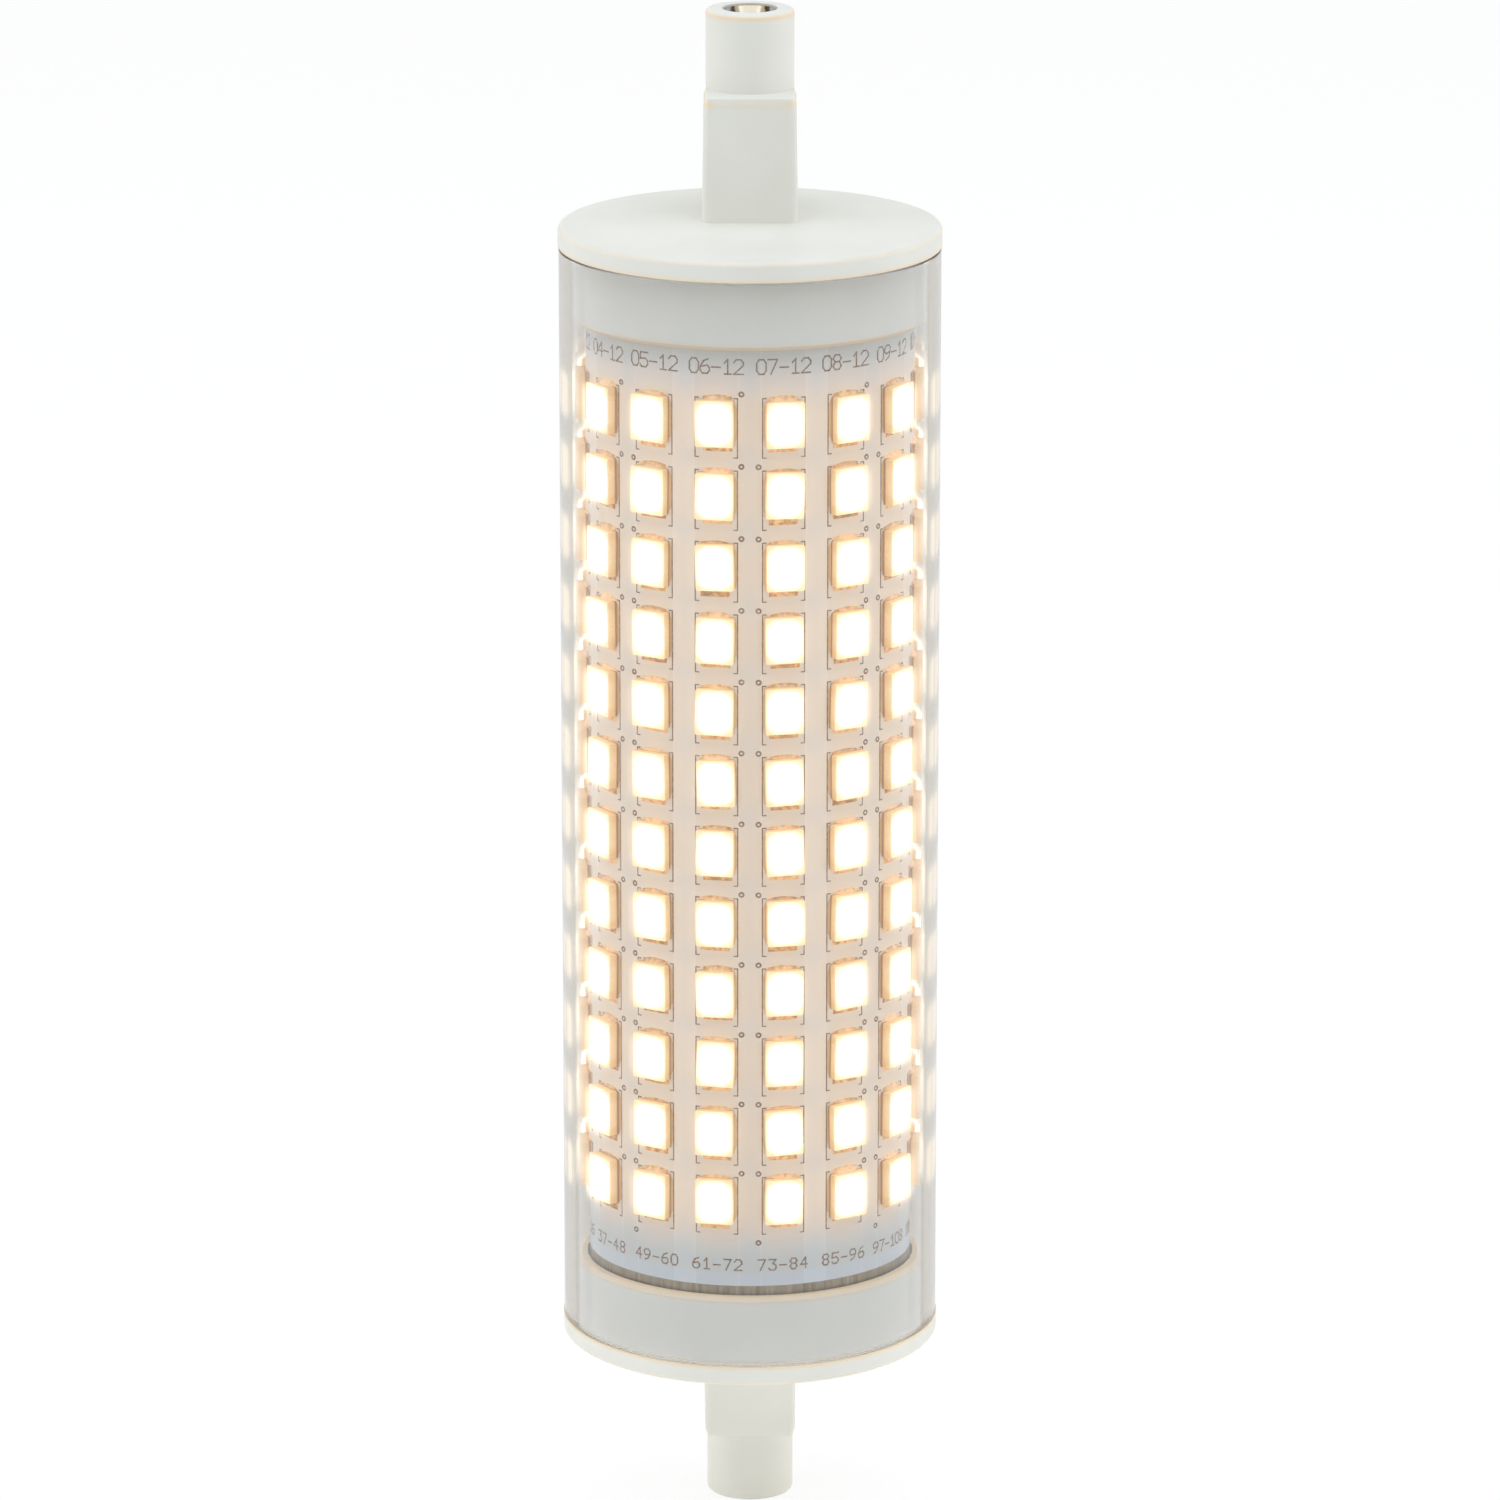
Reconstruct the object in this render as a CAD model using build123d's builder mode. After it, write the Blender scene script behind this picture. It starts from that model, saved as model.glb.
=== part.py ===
from build123d import *

import os
from math import cos, floor, sin, sqrt

# Double-ended linear LED lamp, in millimetres. The tube's axis is +Z, with the origin at the middle of
# the lamp. The LEDs at the front face -Y, and both stems stand behind the tube's axis, towards +Y.

# Cover tube
body_length = 87.2
tube_diameter = 28.8
tube_wall = 1.0
tube_end_gap = 0.1
tube_edge = 0.15

# End cap: flange, sleeve in the tube, and spigot inside the rolled board
flange_overhang = 0.05
flange_thickness = 1.5
flange_round = 0.4
sleeve_length = 5.3
sleeve_wall = 0.75
sleeve_lead = 0.3
sleeve_clearance = 0.1
spigot_length = 3.0
spigot_wall = 0.9

# End cap: stem behind the tube's axis, a flat-fronted block that carries a round nose
stem_offset = 5.7
stem_wall = 1.4
block_length = 9.4
block_reach = 5.45
block_ledge = 0.27
block_corner = 0.6
block_draft = 0.8
shoulder_edge = 0.18
shoulder_drop = 0.6
nose_diameter = 6.7
nose_length = 6.0
nose_wall = 1.25
nose_round = 0.3
nose_root = 1.0
seat_depth = 2.0
web_thickness = 1.2

# Contact riveted through the web of the nose
contact_clearance = 0.05
contact_sink = 0.15
contact_rim = 0.15
dish_depth = 1.55
dish_floor_radius = 1.0
rivet_radius = 1.0
rivet_flare = 0.6
rivet_flare_thickness = 0.4

# LED board rolled to a cylinder, with its seam at the back
board_thickness = 0.8
board_clearance = 0.15
board_end_gap = 0.3
seam_width = 2.2

# LED packages, in columns along the lamp
led_columns = 12
column_pitch = 4.95
row_pitch = 5.5
led_top_margin = 5.6
led_bottom_margin = 7.0
led_width = 2.8
led_length = 3.5
led_height = 0.7
window_width = 2.4
window_length = 3.0
window_depth = 0.35
solder_gap = 0.03

# Insulating liner
liner_wall = 0.25
liner_clearance = 0.1
liner_end_gap = 0.3
liner_seam = 2.8

# Driver board in the guides of both caps
driver_thickness = 1.2
guide_lip = 1.1
guide_wall = 0.5
guide_grip = 1.8
guide_length = 4.0
guide_clearance = 0.05

# Wires
lead_radius = 0.5
lead_on_board = 8.0
feed_radius = 0.35
feed_bend = 0.7
feed_reach = 2.2
feed_height = 4.0
pin_width = 0.6

# Fusible resistor
resistor_x = -4.6
resistor_z = 30.0
resistor_radius = 1.6
resistor_length = 8.0
resistor_height = 2.2
resistor_span = 11.0

# Varistor
varistor_x = 4.4
varistor_z = 31.0
varistor_radius = 3.5
varistor_thickness = 3.2
varistor_lift = 1.0
varistor_pitch = 4.0

# Bridge rectifier
bridge_x = -4.4
bridge_z = 19.0
bridge_width = 6.4
bridge_length = 8.2
bridge_height = 3.2
bridge_lift = 0.4
bridge_pitch = 5.0

# Film capacitor
film_x = 4.4
film_z = 19.0
film_width = 5.0
film_length = 10.0
film_height = 8.0
film_round = 0.5

# Filter choke
choke_z = 7.2
choke_radius = 4.2
choke_post = 2.0
choke_winding_radius = 3.8
choke_height = 8.5
choke_flange = 1.2

# Bulk and output capacitors
bulk_x = 0.0
bulk_z = -6.6
bulk_radius = 5.0
bulk_length = 14.0
output_x = 4.4
output_z = -32.2
output_radius = 3.15
output_length = 9.0
can_groove = 0.4
can_neck = 2.4
lead_gap = 2.5
lead_rise = 1.0

# Transformer
transformer_z = -22.0
core_width = 13.0
core_height = 12.0
core_depth = 6.0
core_leg = 2.0
centre_leg = 3.0
bobbin_depth = 10.0
bobbin_fit = 0.1
bobbin_lift = 0.6

# Switching transistor
transistor_x = -4.6
transistor_z = -32.0
package_width = 6.4
package_length = 6.0
package_height = 2.2
tab_length = 1.2
tab_thickness = 0.5
leg_width = 0.8
leg_length = 2.4
leg_pitch = 4.6

# Control chip
chip_x = 6.5
chip_z = -6.0
chip_width = 2.4
chip_length = 4.9
chip_height = 1.4
chip_lift = 0.15
chip_leg_span = 4.0
chip_leg_width = 0.4
chip_leg_pitch = 1.27
chip_leg_rise = 0.6

# Output diode
diode_x = -6.6
diode_z = -6.0
diode_width = 2.4
diode_length = 4.2
diode_height = 2.0
terminal_width = 1.4
terminal_rise = 1.0
terminal_fold = 0.4

# Chip resistors
resistors_z = 7.2
resistors_apart = 13.6
resistors_pitch = 2.6
chip_resistor_width = 2.0
chip_resistor_length = 1.2
chip_resistor_height = 0.55

# Heights along the lamp, from its middle
outer_face = body_length / 2
inner_face = outer_face - flange_thickness
shoulder = outer_face + block_length
nose_end = shoulder + nose_length
seat_floor = nose_end - seat_depth
web_floor = seat_floor - web_thickness
sleeve_end = inner_face - sleeve_length
board_end = inner_face - board_end_gap

# Radii about the tube's axis
tube_radius = tube_diameter / 2
tube_bore = tube_radius - tube_wall
flange_radius = tube_radius + flange_overhang
sleeve_radius = tube_bore - sleeve_clearance
board_radius = sleeve_radius - sleeve_wall - board_clearance
board_bore = board_radius - board_thickness
spigot_radius = board_bore - board_clearance
liner_radius = board_bore - liner_clearance

# Radii about the stem's axis
nose_radius = nose_diameter / 2
seat_radius = nose_radius - nose_wall
block_half = nose_radius + block_ledge
rivet_hole = rivet_radius + contact_clearance
stem_axis = Axis((0, stem_offset, 0), (0, 0, 1))

# The driver board's back takes the lead wires, which come straight down the stems' axis
driver_back = stem_offset - lead_radius
driver_front = driver_back - driver_thickness
driver_middle = (driver_back + driver_front) / 2
guide_out = sqrt(spigot_radius**2 - (driver_back + guide_lip) ** 2) - guide_clearance
driver_half = guide_out - guide_wall

# Rows and columns of LEDs that the board's open length holds
top_row = sleeve_end - led_top_margin
led_rows = floor((2 * sleeve_end - led_top_margin - led_bottom_margin) / row_pitch) + 1
column_angle = column_pitch / board_radius

os.makedirs("parts", exist_ok=True)


def save(piece, name):
    """Label a finished piece and write its STEP file."""
    piece.part.label = name
    export_step(piece.part, f"parts/{name}.step")


def stem_outline(half_width, reach, corner):
    """Section of the stem: a flat front with rounded corners, and a half circle about its axis behind."""
    front = stem_offset - reach
    with BuildSketch(mode=Mode.PRIVATE) as outline:
        with BuildLine():
            sides = FilletPolyline(
                (-half_width, stem_offset),
                (-half_width, front),
                (half_width, front),
                (half_width, stem_offset),
                radius=corner,
            )
            ThreePointArc(sides @ 0, (0, stem_offset + half_width), sides @ 1)
        make_face()
    return outline.sketch


def ring(outer, wall):
    """Two circles about the sketch's origin that leave a wall between them."""
    Circle(outer)
    Circle(outer - wall, mode=Mode.SUBTRACT)


# Cover tube: extruded clear plastic with broken edges
with BuildPart() as cover_tube:
    with BuildSketch(Plane.XY):
        ring(tube_radius, tube_wall)
    extrude(amount=inner_face - tube_end_gap, both=True)
    chamfer(cover_tube.edges().filter_by(GeomType.CIRCLE), tube_edge)
save(cover_tube, "cover_tube")

# End cap: one moulding, hollow up to the web that the contact is riveted to
with BuildPart() as upper_cap:
    with BuildSketch(Plane.XY.offset(inner_face)):
        Circle(flange_radius)
    extrude(amount=flange_thickness)
    fillet(upper_cap.edges().group_by(Axis.Z)[-1], flange_round)
    with BuildSketch(Plane.XY.offset(inner_face)):
        ring(sleeve_radius, sleeve_wall)
    extrude(amount=-sleeve_length)
    chamfer(upper_cap.edges().group_by(Axis.Z)[0].sort_by(SortBy.RADIUS)[-1], sleeve_lead)
    with BuildSketch(Plane.XY.offset(inner_face)):
        ring(spigot_radius, spigot_wall)
    extrude(amount=-spigot_length)

    # Guides that hold the end of the driver board
    with BuildSketch(Plane.XY.offset(inner_face)):
        with Locations((0, driver_middle)):
            Rectangle(2 * guide_out, driver_thickness + 2 * guide_lip)
            Rectangle(2 * (driver_half - guide_grip), driver_thickness + 2 * guide_lip, mode=Mode.SUBTRACT)
            Rectangle(
                2 * (driver_half + guide_clearance),
                driver_thickness + 2 * guide_clearance,
                mode=Mode.SUBTRACT,
            )
    extrude(amount=-guide_length)

    # Stem: drafted block with a steep bevel round its shoulder, then the nose
    with BuildSketch(Plane.XY.offset(outer_face)):
        add(stem_outline(block_half, block_reach, block_corner))
    extrude(amount=block_length, taper=block_draft)
    ledge = upper_cap.faces().sort_by(Axis.Z)[-1]
    chamfer(ledge.edges(), length=shoulder_edge, length2=shoulder_drop, reference=ledge)
    with BuildSketch(Plane.XY.offset(shoulder - nose_root)):
        with Locations((0, stem_offset)):
            Circle(nose_radius)
    extrude(amount=nose_root + nose_length)
    fillet(upper_cap.edges().group_by(Axis.Z)[-1], nose_round)

    # Core of the stem, bore of the nose, contact seat and rivet hole
    with BuildSketch(Plane.XY.offset(inner_face)):
        add(stem_outline(block_half - stem_wall, block_reach - stem_wall, block_corner))
    extrude(amount=flange_thickness + block_length - stem_wall, mode=Mode.SUBTRACT)
    with BuildSketch(Plane.XY.offset(inner_face)):
        with Locations((0, stem_offset)):
            Circle(seat_radius)
    extrude(amount=web_floor - inner_face, mode=Mode.SUBTRACT)
    with BuildSketch(Plane.XY.offset(nose_end)):
        with Locations((0, stem_offset)):
            Circle(seat_radius)
    extrude(amount=-seat_depth, mode=Mode.SUBTRACT)
    with BuildSketch(Plane.XY.offset(seat_floor)):
        with Locations((0, stem_offset)):
            Circle(rivet_hole)
    extrude(amount=-web_thickness, mode=Mode.SUBTRACT)
save(upper_cap, "upper_cap")

with BuildPart() as lower_cap:
    mirror(upper_cap.part, about=Plane.XY)
save(lower_cap, "lower_cap")

# Contact: turned metal with a dished head, its shank flared over inside the stem
contact_radius = seat_radius - contact_clearance
contact_top = nose_end - contact_sink
flare_radius = rivet_radius + rivet_flare
flare_face = web_floor - rivet_flare_thickness
with BuildPart() as upper_contact:
    with BuildSketch(Plane.XZ.offset(-stem_offset)):
        with BuildLine():
            Polyline(
                (0, flare_face),
                (flare_radius, flare_face),
                (flare_radius, web_floor),
                (rivet_radius, web_floor),
                (rivet_radius, seat_floor),
                (contact_radius, seat_floor),
                (contact_radius, contact_top),
                (contact_radius - contact_rim, contact_top),
                (dish_floor_radius, contact_top - dish_depth),
                (0, contact_top - dish_depth),
                close=True,
            )
        make_face()
    revolve(axis=stem_axis)
save(upper_contact, "upper_contact")

with BuildPart() as lower_contact:
    mirror(upper_contact.part, about=Plane.XY)
save(lower_contact, "lower_contact")

# LED board: aluminium sheet rolled until its edges almost meet at the back
with BuildPart() as led_board:
    with BuildSketch(Plane.XY):
        ring(board_radius, board_thickness)
        with Locations((0, board_radius)):
            Rectangle(seam_width, board_radius, mode=Mode.SUBTRACT)
    extrude(amount=board_end, both=True)
save(led_board, "led_board")


def led_seat(column, row):
    """Plane under one LED, with x round the board, y along the lamp and z outwards."""
    turn = (column - (led_columns - 1) / 2) * column_angle
    outward = Vector(sin(turn), -cos(turn), 0)
    place = outward * (board_radius + solder_gap) + Vector(0, 0, top_row - row * row_pitch)
    return Plane(origin=place, x_dir=(cos(turn), sin(turn), 0), z_dir=outward)


# LED strings: each column has its moulded bodies, and the phosphor that fills their windows
for column in range(led_columns):
    seats = [led_seat(column, row) for row in range(led_rows)]
    window_floors = [seat.offset(led_height - window_depth) for seat in seats]
    string = f"led_string_{column + 1:02d}"
    with BuildPart() as bodies:
        with BuildSketch(*seats):
            Rectangle(led_width, led_length)
        extrude(amount=led_height)
        with BuildSketch(*window_floors):
            Rectangle(window_width, window_length)
        extrude(amount=window_depth, mode=Mode.SUBTRACT)
    save(bodies, f"{string}_bodies")
    with BuildPart() as phosphor:
        with BuildSketch(*window_floors):
            Rectangle(window_width, window_length)
        extrude(amount=window_depth)
    save(phosphor, f"{string}_phosphor")

# Insulating liner: plastic film rolled inside the LED board, open at the same seam
liner_end = inner_face - max(spigot_length, guide_length) - liner_end_gap
with BuildPart() as insulating_liner:
    with BuildSketch(Plane.XY):
        ring(liner_radius, liner_wall)
        with Locations((0, liner_radius)):
            Rectangle(liner_seam, liner_radius, mode=Mode.SUBTRACT)
    extrude(amount=liner_end, both=True)
save(insulating_liner, "insulating_liner")

# Driver board
with BuildPart() as driver_board:
    with BuildSketch(Plane.XY):
        with Locations((0, driver_middle)):
            Rectangle(2 * driver_half, driver_thickness)
    extrude(amount=board_end, both=True)
save(driver_board, "driver_board")

# Lead wires: from the flared shank of each contact to the back of the driver board
lead_end = board_end - lead_on_board
with BuildPart() as upper_lead_wire:
    with BuildSketch(Plane.XY.offset(lead_end)):
        with Locations((0, stem_offset)):
            Circle(lead_radius)
    extrude(amount=flare_face - lead_end)
save(upper_lead_wire, "upper_lead_wire")

with BuildPart() as lower_lead_wire:
    mirror(upper_lead_wire.part, about=Plane.XY)
save(lower_lead_wire, "lower_lead_wire")

# Feed wires: out of the seam, and folded over to the pads beside it
feed_level = sqrt(board_radius**2 - (seam_width / 2) ** 2) + feed_radius + solder_gap
for name, side in (("positive_feed_wire", 1), ("negative_feed_wire", -1)):
    start = (0, driver_back, side * feed_height)
    with BuildPart() as feed_wire:
        with BuildLine():
            Polyline(
                start,
                (0, feed_level - feed_bend, side * feed_height),
                (side * feed_bend, feed_level, side * feed_height),
                (side * feed_reach, feed_level, side * feed_height),
            )
        with BuildSketch(Plane(origin=start, z_dir=(0, 1, 0))):
            Circle(feed_radius)
        sweep(transition=Transition.RIGHT)
    save(feed_wire, name)


def on_driver(x, z):
    """Plane on the driver board, with x across it, y along the lamp and z away from the board."""
    return Plane(origin=(x, driver_front, z), x_dir=(1, 0, 0), z_dir=(0, -1, 0))


def along_lamp(x, z, height):
    """Plane across the lamp, for a round component whose axis lies over the driver board."""
    return Plane(origin=(x, driver_front - height, z), x_dir=(1, 0, 0), z_dir=(0, 0, 1))


def block(width, length, height, lift=0.0):
    """Box that stands on the current plane, or a little above it."""
    with Locations((0, 0, lift)):
        Box(width, length, height, align=(Align.CENTER, Align.CENTER, Align.MIN))


def pins(x, z, count_x, count_z, spacing, length):
    """Square pins from the driver board up into a component."""
    with Locations(on_driver(x, z)):
        with GridLocations(spacing, spacing, count_x, count_z):
            block(pin_width, pin_width, length)


# Fusible resistor: an axial body on two bent leads
with BuildPart() as fusible_resistor:
    with BuildSketch(along_lamp(resistor_x, resistor_z, resistor_height)):
        Circle(resistor_radius)
    extrude(amount=resistor_length / 2, both=True)
    chamfer(fusible_resistor.edges().filter_by(GeomType.CIRCLE), resistor_radius / 4)
    with BuildLine(Plane(origin=(resistor_x, driver_front, resistor_z), x_dir=(0, 0, 1), z_dir=(1, 0, 0))):
        Polyline(
            (-resistor_span / 2, 0),
            (-resistor_span / 2, resistor_height),
            (resistor_span / 2, resistor_height),
            (resistor_span / 2, 0),
        )
    with BuildSketch(on_driver(resistor_x, resistor_z - resistor_span / 2)):
        Rectangle(pin_width, pin_width)
    sweep(transition=Transition.RIGHT)
save(fusible_resistor, "fusible_resistor")

# Varistor: a coated disc that stands on two pins
with BuildPart() as varistor:
    with BuildSketch(Plane.YZ.offset(varistor_x)):
        with Locations((driver_front - varistor_lift - varistor_radius, varistor_z)):
            Circle(varistor_radius)
    extrude(amount=varistor_thickness / 2, both=True)
    pins(varistor_x, varistor_z, 1, 2, varistor_pitch, varistor_lift + varistor_radius)
save(varistor, "varistor")

# Bridge rectifier: a flat moulded block on four pins
with BuildPart() as bridge_rectifier:
    with Locations(on_driver(bridge_x, bridge_z)):
        block(bridge_width, bridge_length, bridge_height, bridge_lift)
    pins(bridge_x, bridge_z, 2, 2, bridge_pitch, bridge_lift + bridge_height / 2)
save(bridge_rectifier, "bridge_rectifier")

# Film capacitor: a potted box that stands on the board
with BuildPart() as film_capacitor:
    with Locations(on_driver(film_x, film_z)):
        block(film_width, film_length, film_height)
    fillet(film_capacitor.edges().filter_by(Axis.Y), film_round)
save(film_capacitor, "film_capacitor")

# Filter choke: a drum core that stands on the board, with its winding between the flanges
with BuildPart() as choke_core:
    with BuildSketch(on_driver(0, choke_z)):
        Circle(choke_radius)
    extrude(amount=choke_height)
    with BuildSketch(on_driver(0, choke_z).offset(choke_flange)):
        ring(choke_radius, choke_radius - choke_post)
    extrude(amount=choke_height - 2 * choke_flange, mode=Mode.SUBTRACT)
save(choke_core, "choke_core")

with BuildPart() as choke_winding:
    with BuildSketch(on_driver(0, choke_z).offset(choke_flange)):
        ring(choke_winding_radius, choke_winding_radius - choke_post)
    extrude(amount=choke_height - 2 * choke_flange)
save(choke_winding, "choke_winding")


def capacitor_can(x, z, radius, length):
    """Half section of a capacitor's can, with the rolled groove over its bung."""
    low = -length / 2
    neck = low + can_neck
    with BuildSketch(on_driver(x, z).offset(radius), mode=Mode.PRIVATE) as can:
        with BuildLine():
            Polyline(
                (0, low),
                (radius, low),
                (radius, neck - can_groove),
                (radius - can_groove, neck),
                (radius, neck + can_groove),
                (radius, length / 2),
                (0, length / 2),
                close=True,
            )
        make_face()
    return can.sketch


# Bulk and output capacitors: cans that lie along the board, their leads bent into it
for name, x, z, radius, length in (
    ("bulk_capacitor", bulk_x, bulk_z, bulk_radius, bulk_length),
    ("output_capacitor", output_x, output_z, output_radius, output_length),
):
    with BuildPart() as capacitor:
        revolve(capacitor_can(x, z, radius, length), axis=Axis((x, driver_front - radius, z), (0, 0, 1)))
        foot = z - length / 2 - lead_rise
        for side in (-1, 1):
            with BuildLine():
                Polyline(
                    (x + side * lead_gap / 2, driver_front, foot),
                    (x + side * lead_gap / 2, driver_front - radius, foot),
                    (x + side * lead_gap / 2, driver_front - radius, z),
                )
            with BuildSketch(on_driver(x + side * lead_gap / 2, foot)):
                Rectangle(pin_width, pin_width)
            sweep(transition=Transition.RIGHT)
    save(capacitor, name)

# Transformer: a pair of E cores closed round a wound bobbin
opening_height = core_height - 2 * core_leg
opening_width = core_width - 2 * core_leg
core_middle = driver_front - bobbin_lift - core_height / 2
with BuildPart() as transformer_core:
    with BuildSketch(Plane.XY.offset(transformer_z)):
        with Locations((0, core_middle)):
            Rectangle(core_width, core_height)
            Rectangle(opening_width, opening_height, mode=Mode.SUBTRACT)
            Rectangle(centre_leg, opening_height)
    extrude(amount=core_depth / 2, both=True)
save(transformer_core, "transformer_core")

with BuildPart() as transformer_coil:
    with BuildSketch(Plane.XY.offset(transformer_z)):
        with Locations((0, core_middle)):
            Rectangle(opening_width - 2 * bobbin_fit, opening_height - 2 * bobbin_fit)
    extrude(amount=bobbin_depth / 2, both=True)
    with BuildSketch(Plane.XY.offset(transformer_z)):
        with Locations((0, core_middle)):
            Rectangle(centre_leg + 2 * bobbin_fit, opening_height)
    extrude(amount=core_depth / 2 + bobbin_fit, both=True, mode=Mode.SUBTRACT)
    with Locations(on_driver(0, transformer_z)):
        with GridLocations(opening_width / 2, bobbin_depth - 2 * pin_width, 2, 2):
            block(pin_width, pin_width, core_height / 2)
save(transformer_coil, "transformer_coil")

# Switching transistor: a flat package on its tab
with BuildPart() as switching_transistor:
    with Locations(on_driver(transistor_x, transistor_z)):
        block(package_width, package_length, package_height)
        with Locations((0, (package_length + tab_length) / 2, 0)):
            block(package_width - leg_width, tab_length, tab_thickness)
        with Locations((0, -(package_length + leg_length) / 2, 0)):
            with GridLocations(leg_pitch, 0, 2, 1):
                block(leg_width, leg_length, tab_thickness)
save(switching_transistor, "switching_transistor")

# Control chip: a small moulded package with four gull-wing legs on each side
with BuildPart() as control_chip:
    with Locations(on_driver(chip_x, chip_z)):
        block(chip_width, chip_length, chip_height, chip_lift)
        with GridLocations(0, chip_leg_pitch, 1, 4):
            block(chip_leg_span, chip_leg_width, chip_leg_rise)
save(control_chip, "control_chip")

# Output diode: a small block on folded end terminals
with BuildPart() as output_diode:
    with Locations(on_driver(diode_x, diode_z)):
        block(diode_width, diode_length, diode_height)
        block(terminal_width, diode_length + 2 * terminal_fold, terminal_rise)
save(output_diode, "output_diode")

# Chip resistors beside the choke
with BuildPart() as chip_resistors:
    with Locations(on_driver(0, resistors_z)):
        with GridLocations(resistors_apart, resistors_pitch, 2, 3):
            block(chip_resistor_width, chip_resistor_length, chip_resistor_height)
save(chip_resistors, "chip_resistors")
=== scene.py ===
from functools import partial
from math import atan2, cos, pi, radians, sin

import bmesh
import bpy
from bpy.props import FloatProperty, FloatVectorProperty, IntProperty, PointerProperty
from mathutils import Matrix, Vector


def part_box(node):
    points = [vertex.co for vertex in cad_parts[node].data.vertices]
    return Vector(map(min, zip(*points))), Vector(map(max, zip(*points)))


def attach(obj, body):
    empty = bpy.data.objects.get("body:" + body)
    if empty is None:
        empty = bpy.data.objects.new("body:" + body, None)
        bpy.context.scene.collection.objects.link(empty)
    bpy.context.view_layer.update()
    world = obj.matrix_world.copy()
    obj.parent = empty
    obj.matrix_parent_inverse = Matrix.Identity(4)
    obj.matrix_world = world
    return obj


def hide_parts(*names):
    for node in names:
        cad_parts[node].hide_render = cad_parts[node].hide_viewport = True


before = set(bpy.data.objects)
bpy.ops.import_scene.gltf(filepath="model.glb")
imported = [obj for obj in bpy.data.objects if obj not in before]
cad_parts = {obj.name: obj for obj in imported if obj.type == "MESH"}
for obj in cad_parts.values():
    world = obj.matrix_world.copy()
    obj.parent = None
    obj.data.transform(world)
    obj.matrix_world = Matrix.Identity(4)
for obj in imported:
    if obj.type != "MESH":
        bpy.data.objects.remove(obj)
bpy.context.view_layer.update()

bl_info = {
    "name": "Double-ended linear LED lamp",
    "version": (1, 0, 0),
    "blender": (4, 5, 0),
    "location": "3D View > Sidebar > Lamp",
    "description": "Builds the looks of a tubular LED lamp round its CAD frame",
    "category": "Object",
}

# All lengths are in metres, as the frame's are; MM turns a drawing's millimetres into them.
MM = 0.001
BODY = "root"

# Points that lie closer than this are merged.
MERGE = 0.001 * MM
WHITE, BLACK = (1.0, 1.0, 1.0), (0.0, 0.0, 0.0)

# Sizes that the frame gives; the tube made here takes up most of the fitting gap at its ends.
END_GAP, NOSE_LENGTH = 0.07 * MM, 6 * MM
TUBE_RADIUS, TUBE_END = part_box("cover_tube")[1].x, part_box("cover_tube")[1].z + END_GAP
BOARD_RADIUS, BOARD_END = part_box("led_board")[1].x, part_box("led_board")[1].z
SLEEVE_END, NOSE_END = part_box("upper_cap")[0].z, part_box("upper_cap")[1].z
SHOULDER = NOSE_END - NOSE_LENGTH
STRINGS = sorted(name.removesuffix("_bodies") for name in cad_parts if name.endswith("_bodies"))

# Heights on the board: the feet of its printed numbers, and the low end of its solder mask.
FIGURES_FOOT, TITLES_FOOT, MASK_END = -34.85 * MM, 34.9 * MM, -36.1 * MM


def string_angle(string):
    """How far round the lamp a string of LEDs stands, from the front and towards +X."""
    low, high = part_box(f"{string}_phosphor")
    return atan2(low.x + high.x, -low.y - high.y)


COLUMN_ANGLE = string_angle(STRINGS[6]) - string_angle(STRINGS[5])


def linear(code):
    """Linear colour of an sRGB hex code."""
    parts = [int(code[i : i + 2], 16) / 255 for i in (1, 3, 5)]
    return tuple(c / 12.92 if c <= 0.04045 else ((c + 0.055) / 1.055) ** 2.4 for c in parts)


def size(name, description, millimetres):
    """Property for a length, given in millimetres."""
    return FloatProperty(
        name=name,
        description=description,
        default=millimetres * MM,
        min=0.0,
        precision=5,
        subtype="DISTANCE",
        unit="LENGTH",
    )


def colour(name, description, code):
    """Property for a colour, given as an sRGB hex code."""
    return FloatVectorProperty(
        name=name, description=description, default=linear(code), size=3, min=0.0, max=1.0, subtype="COLOR"
    )


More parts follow.
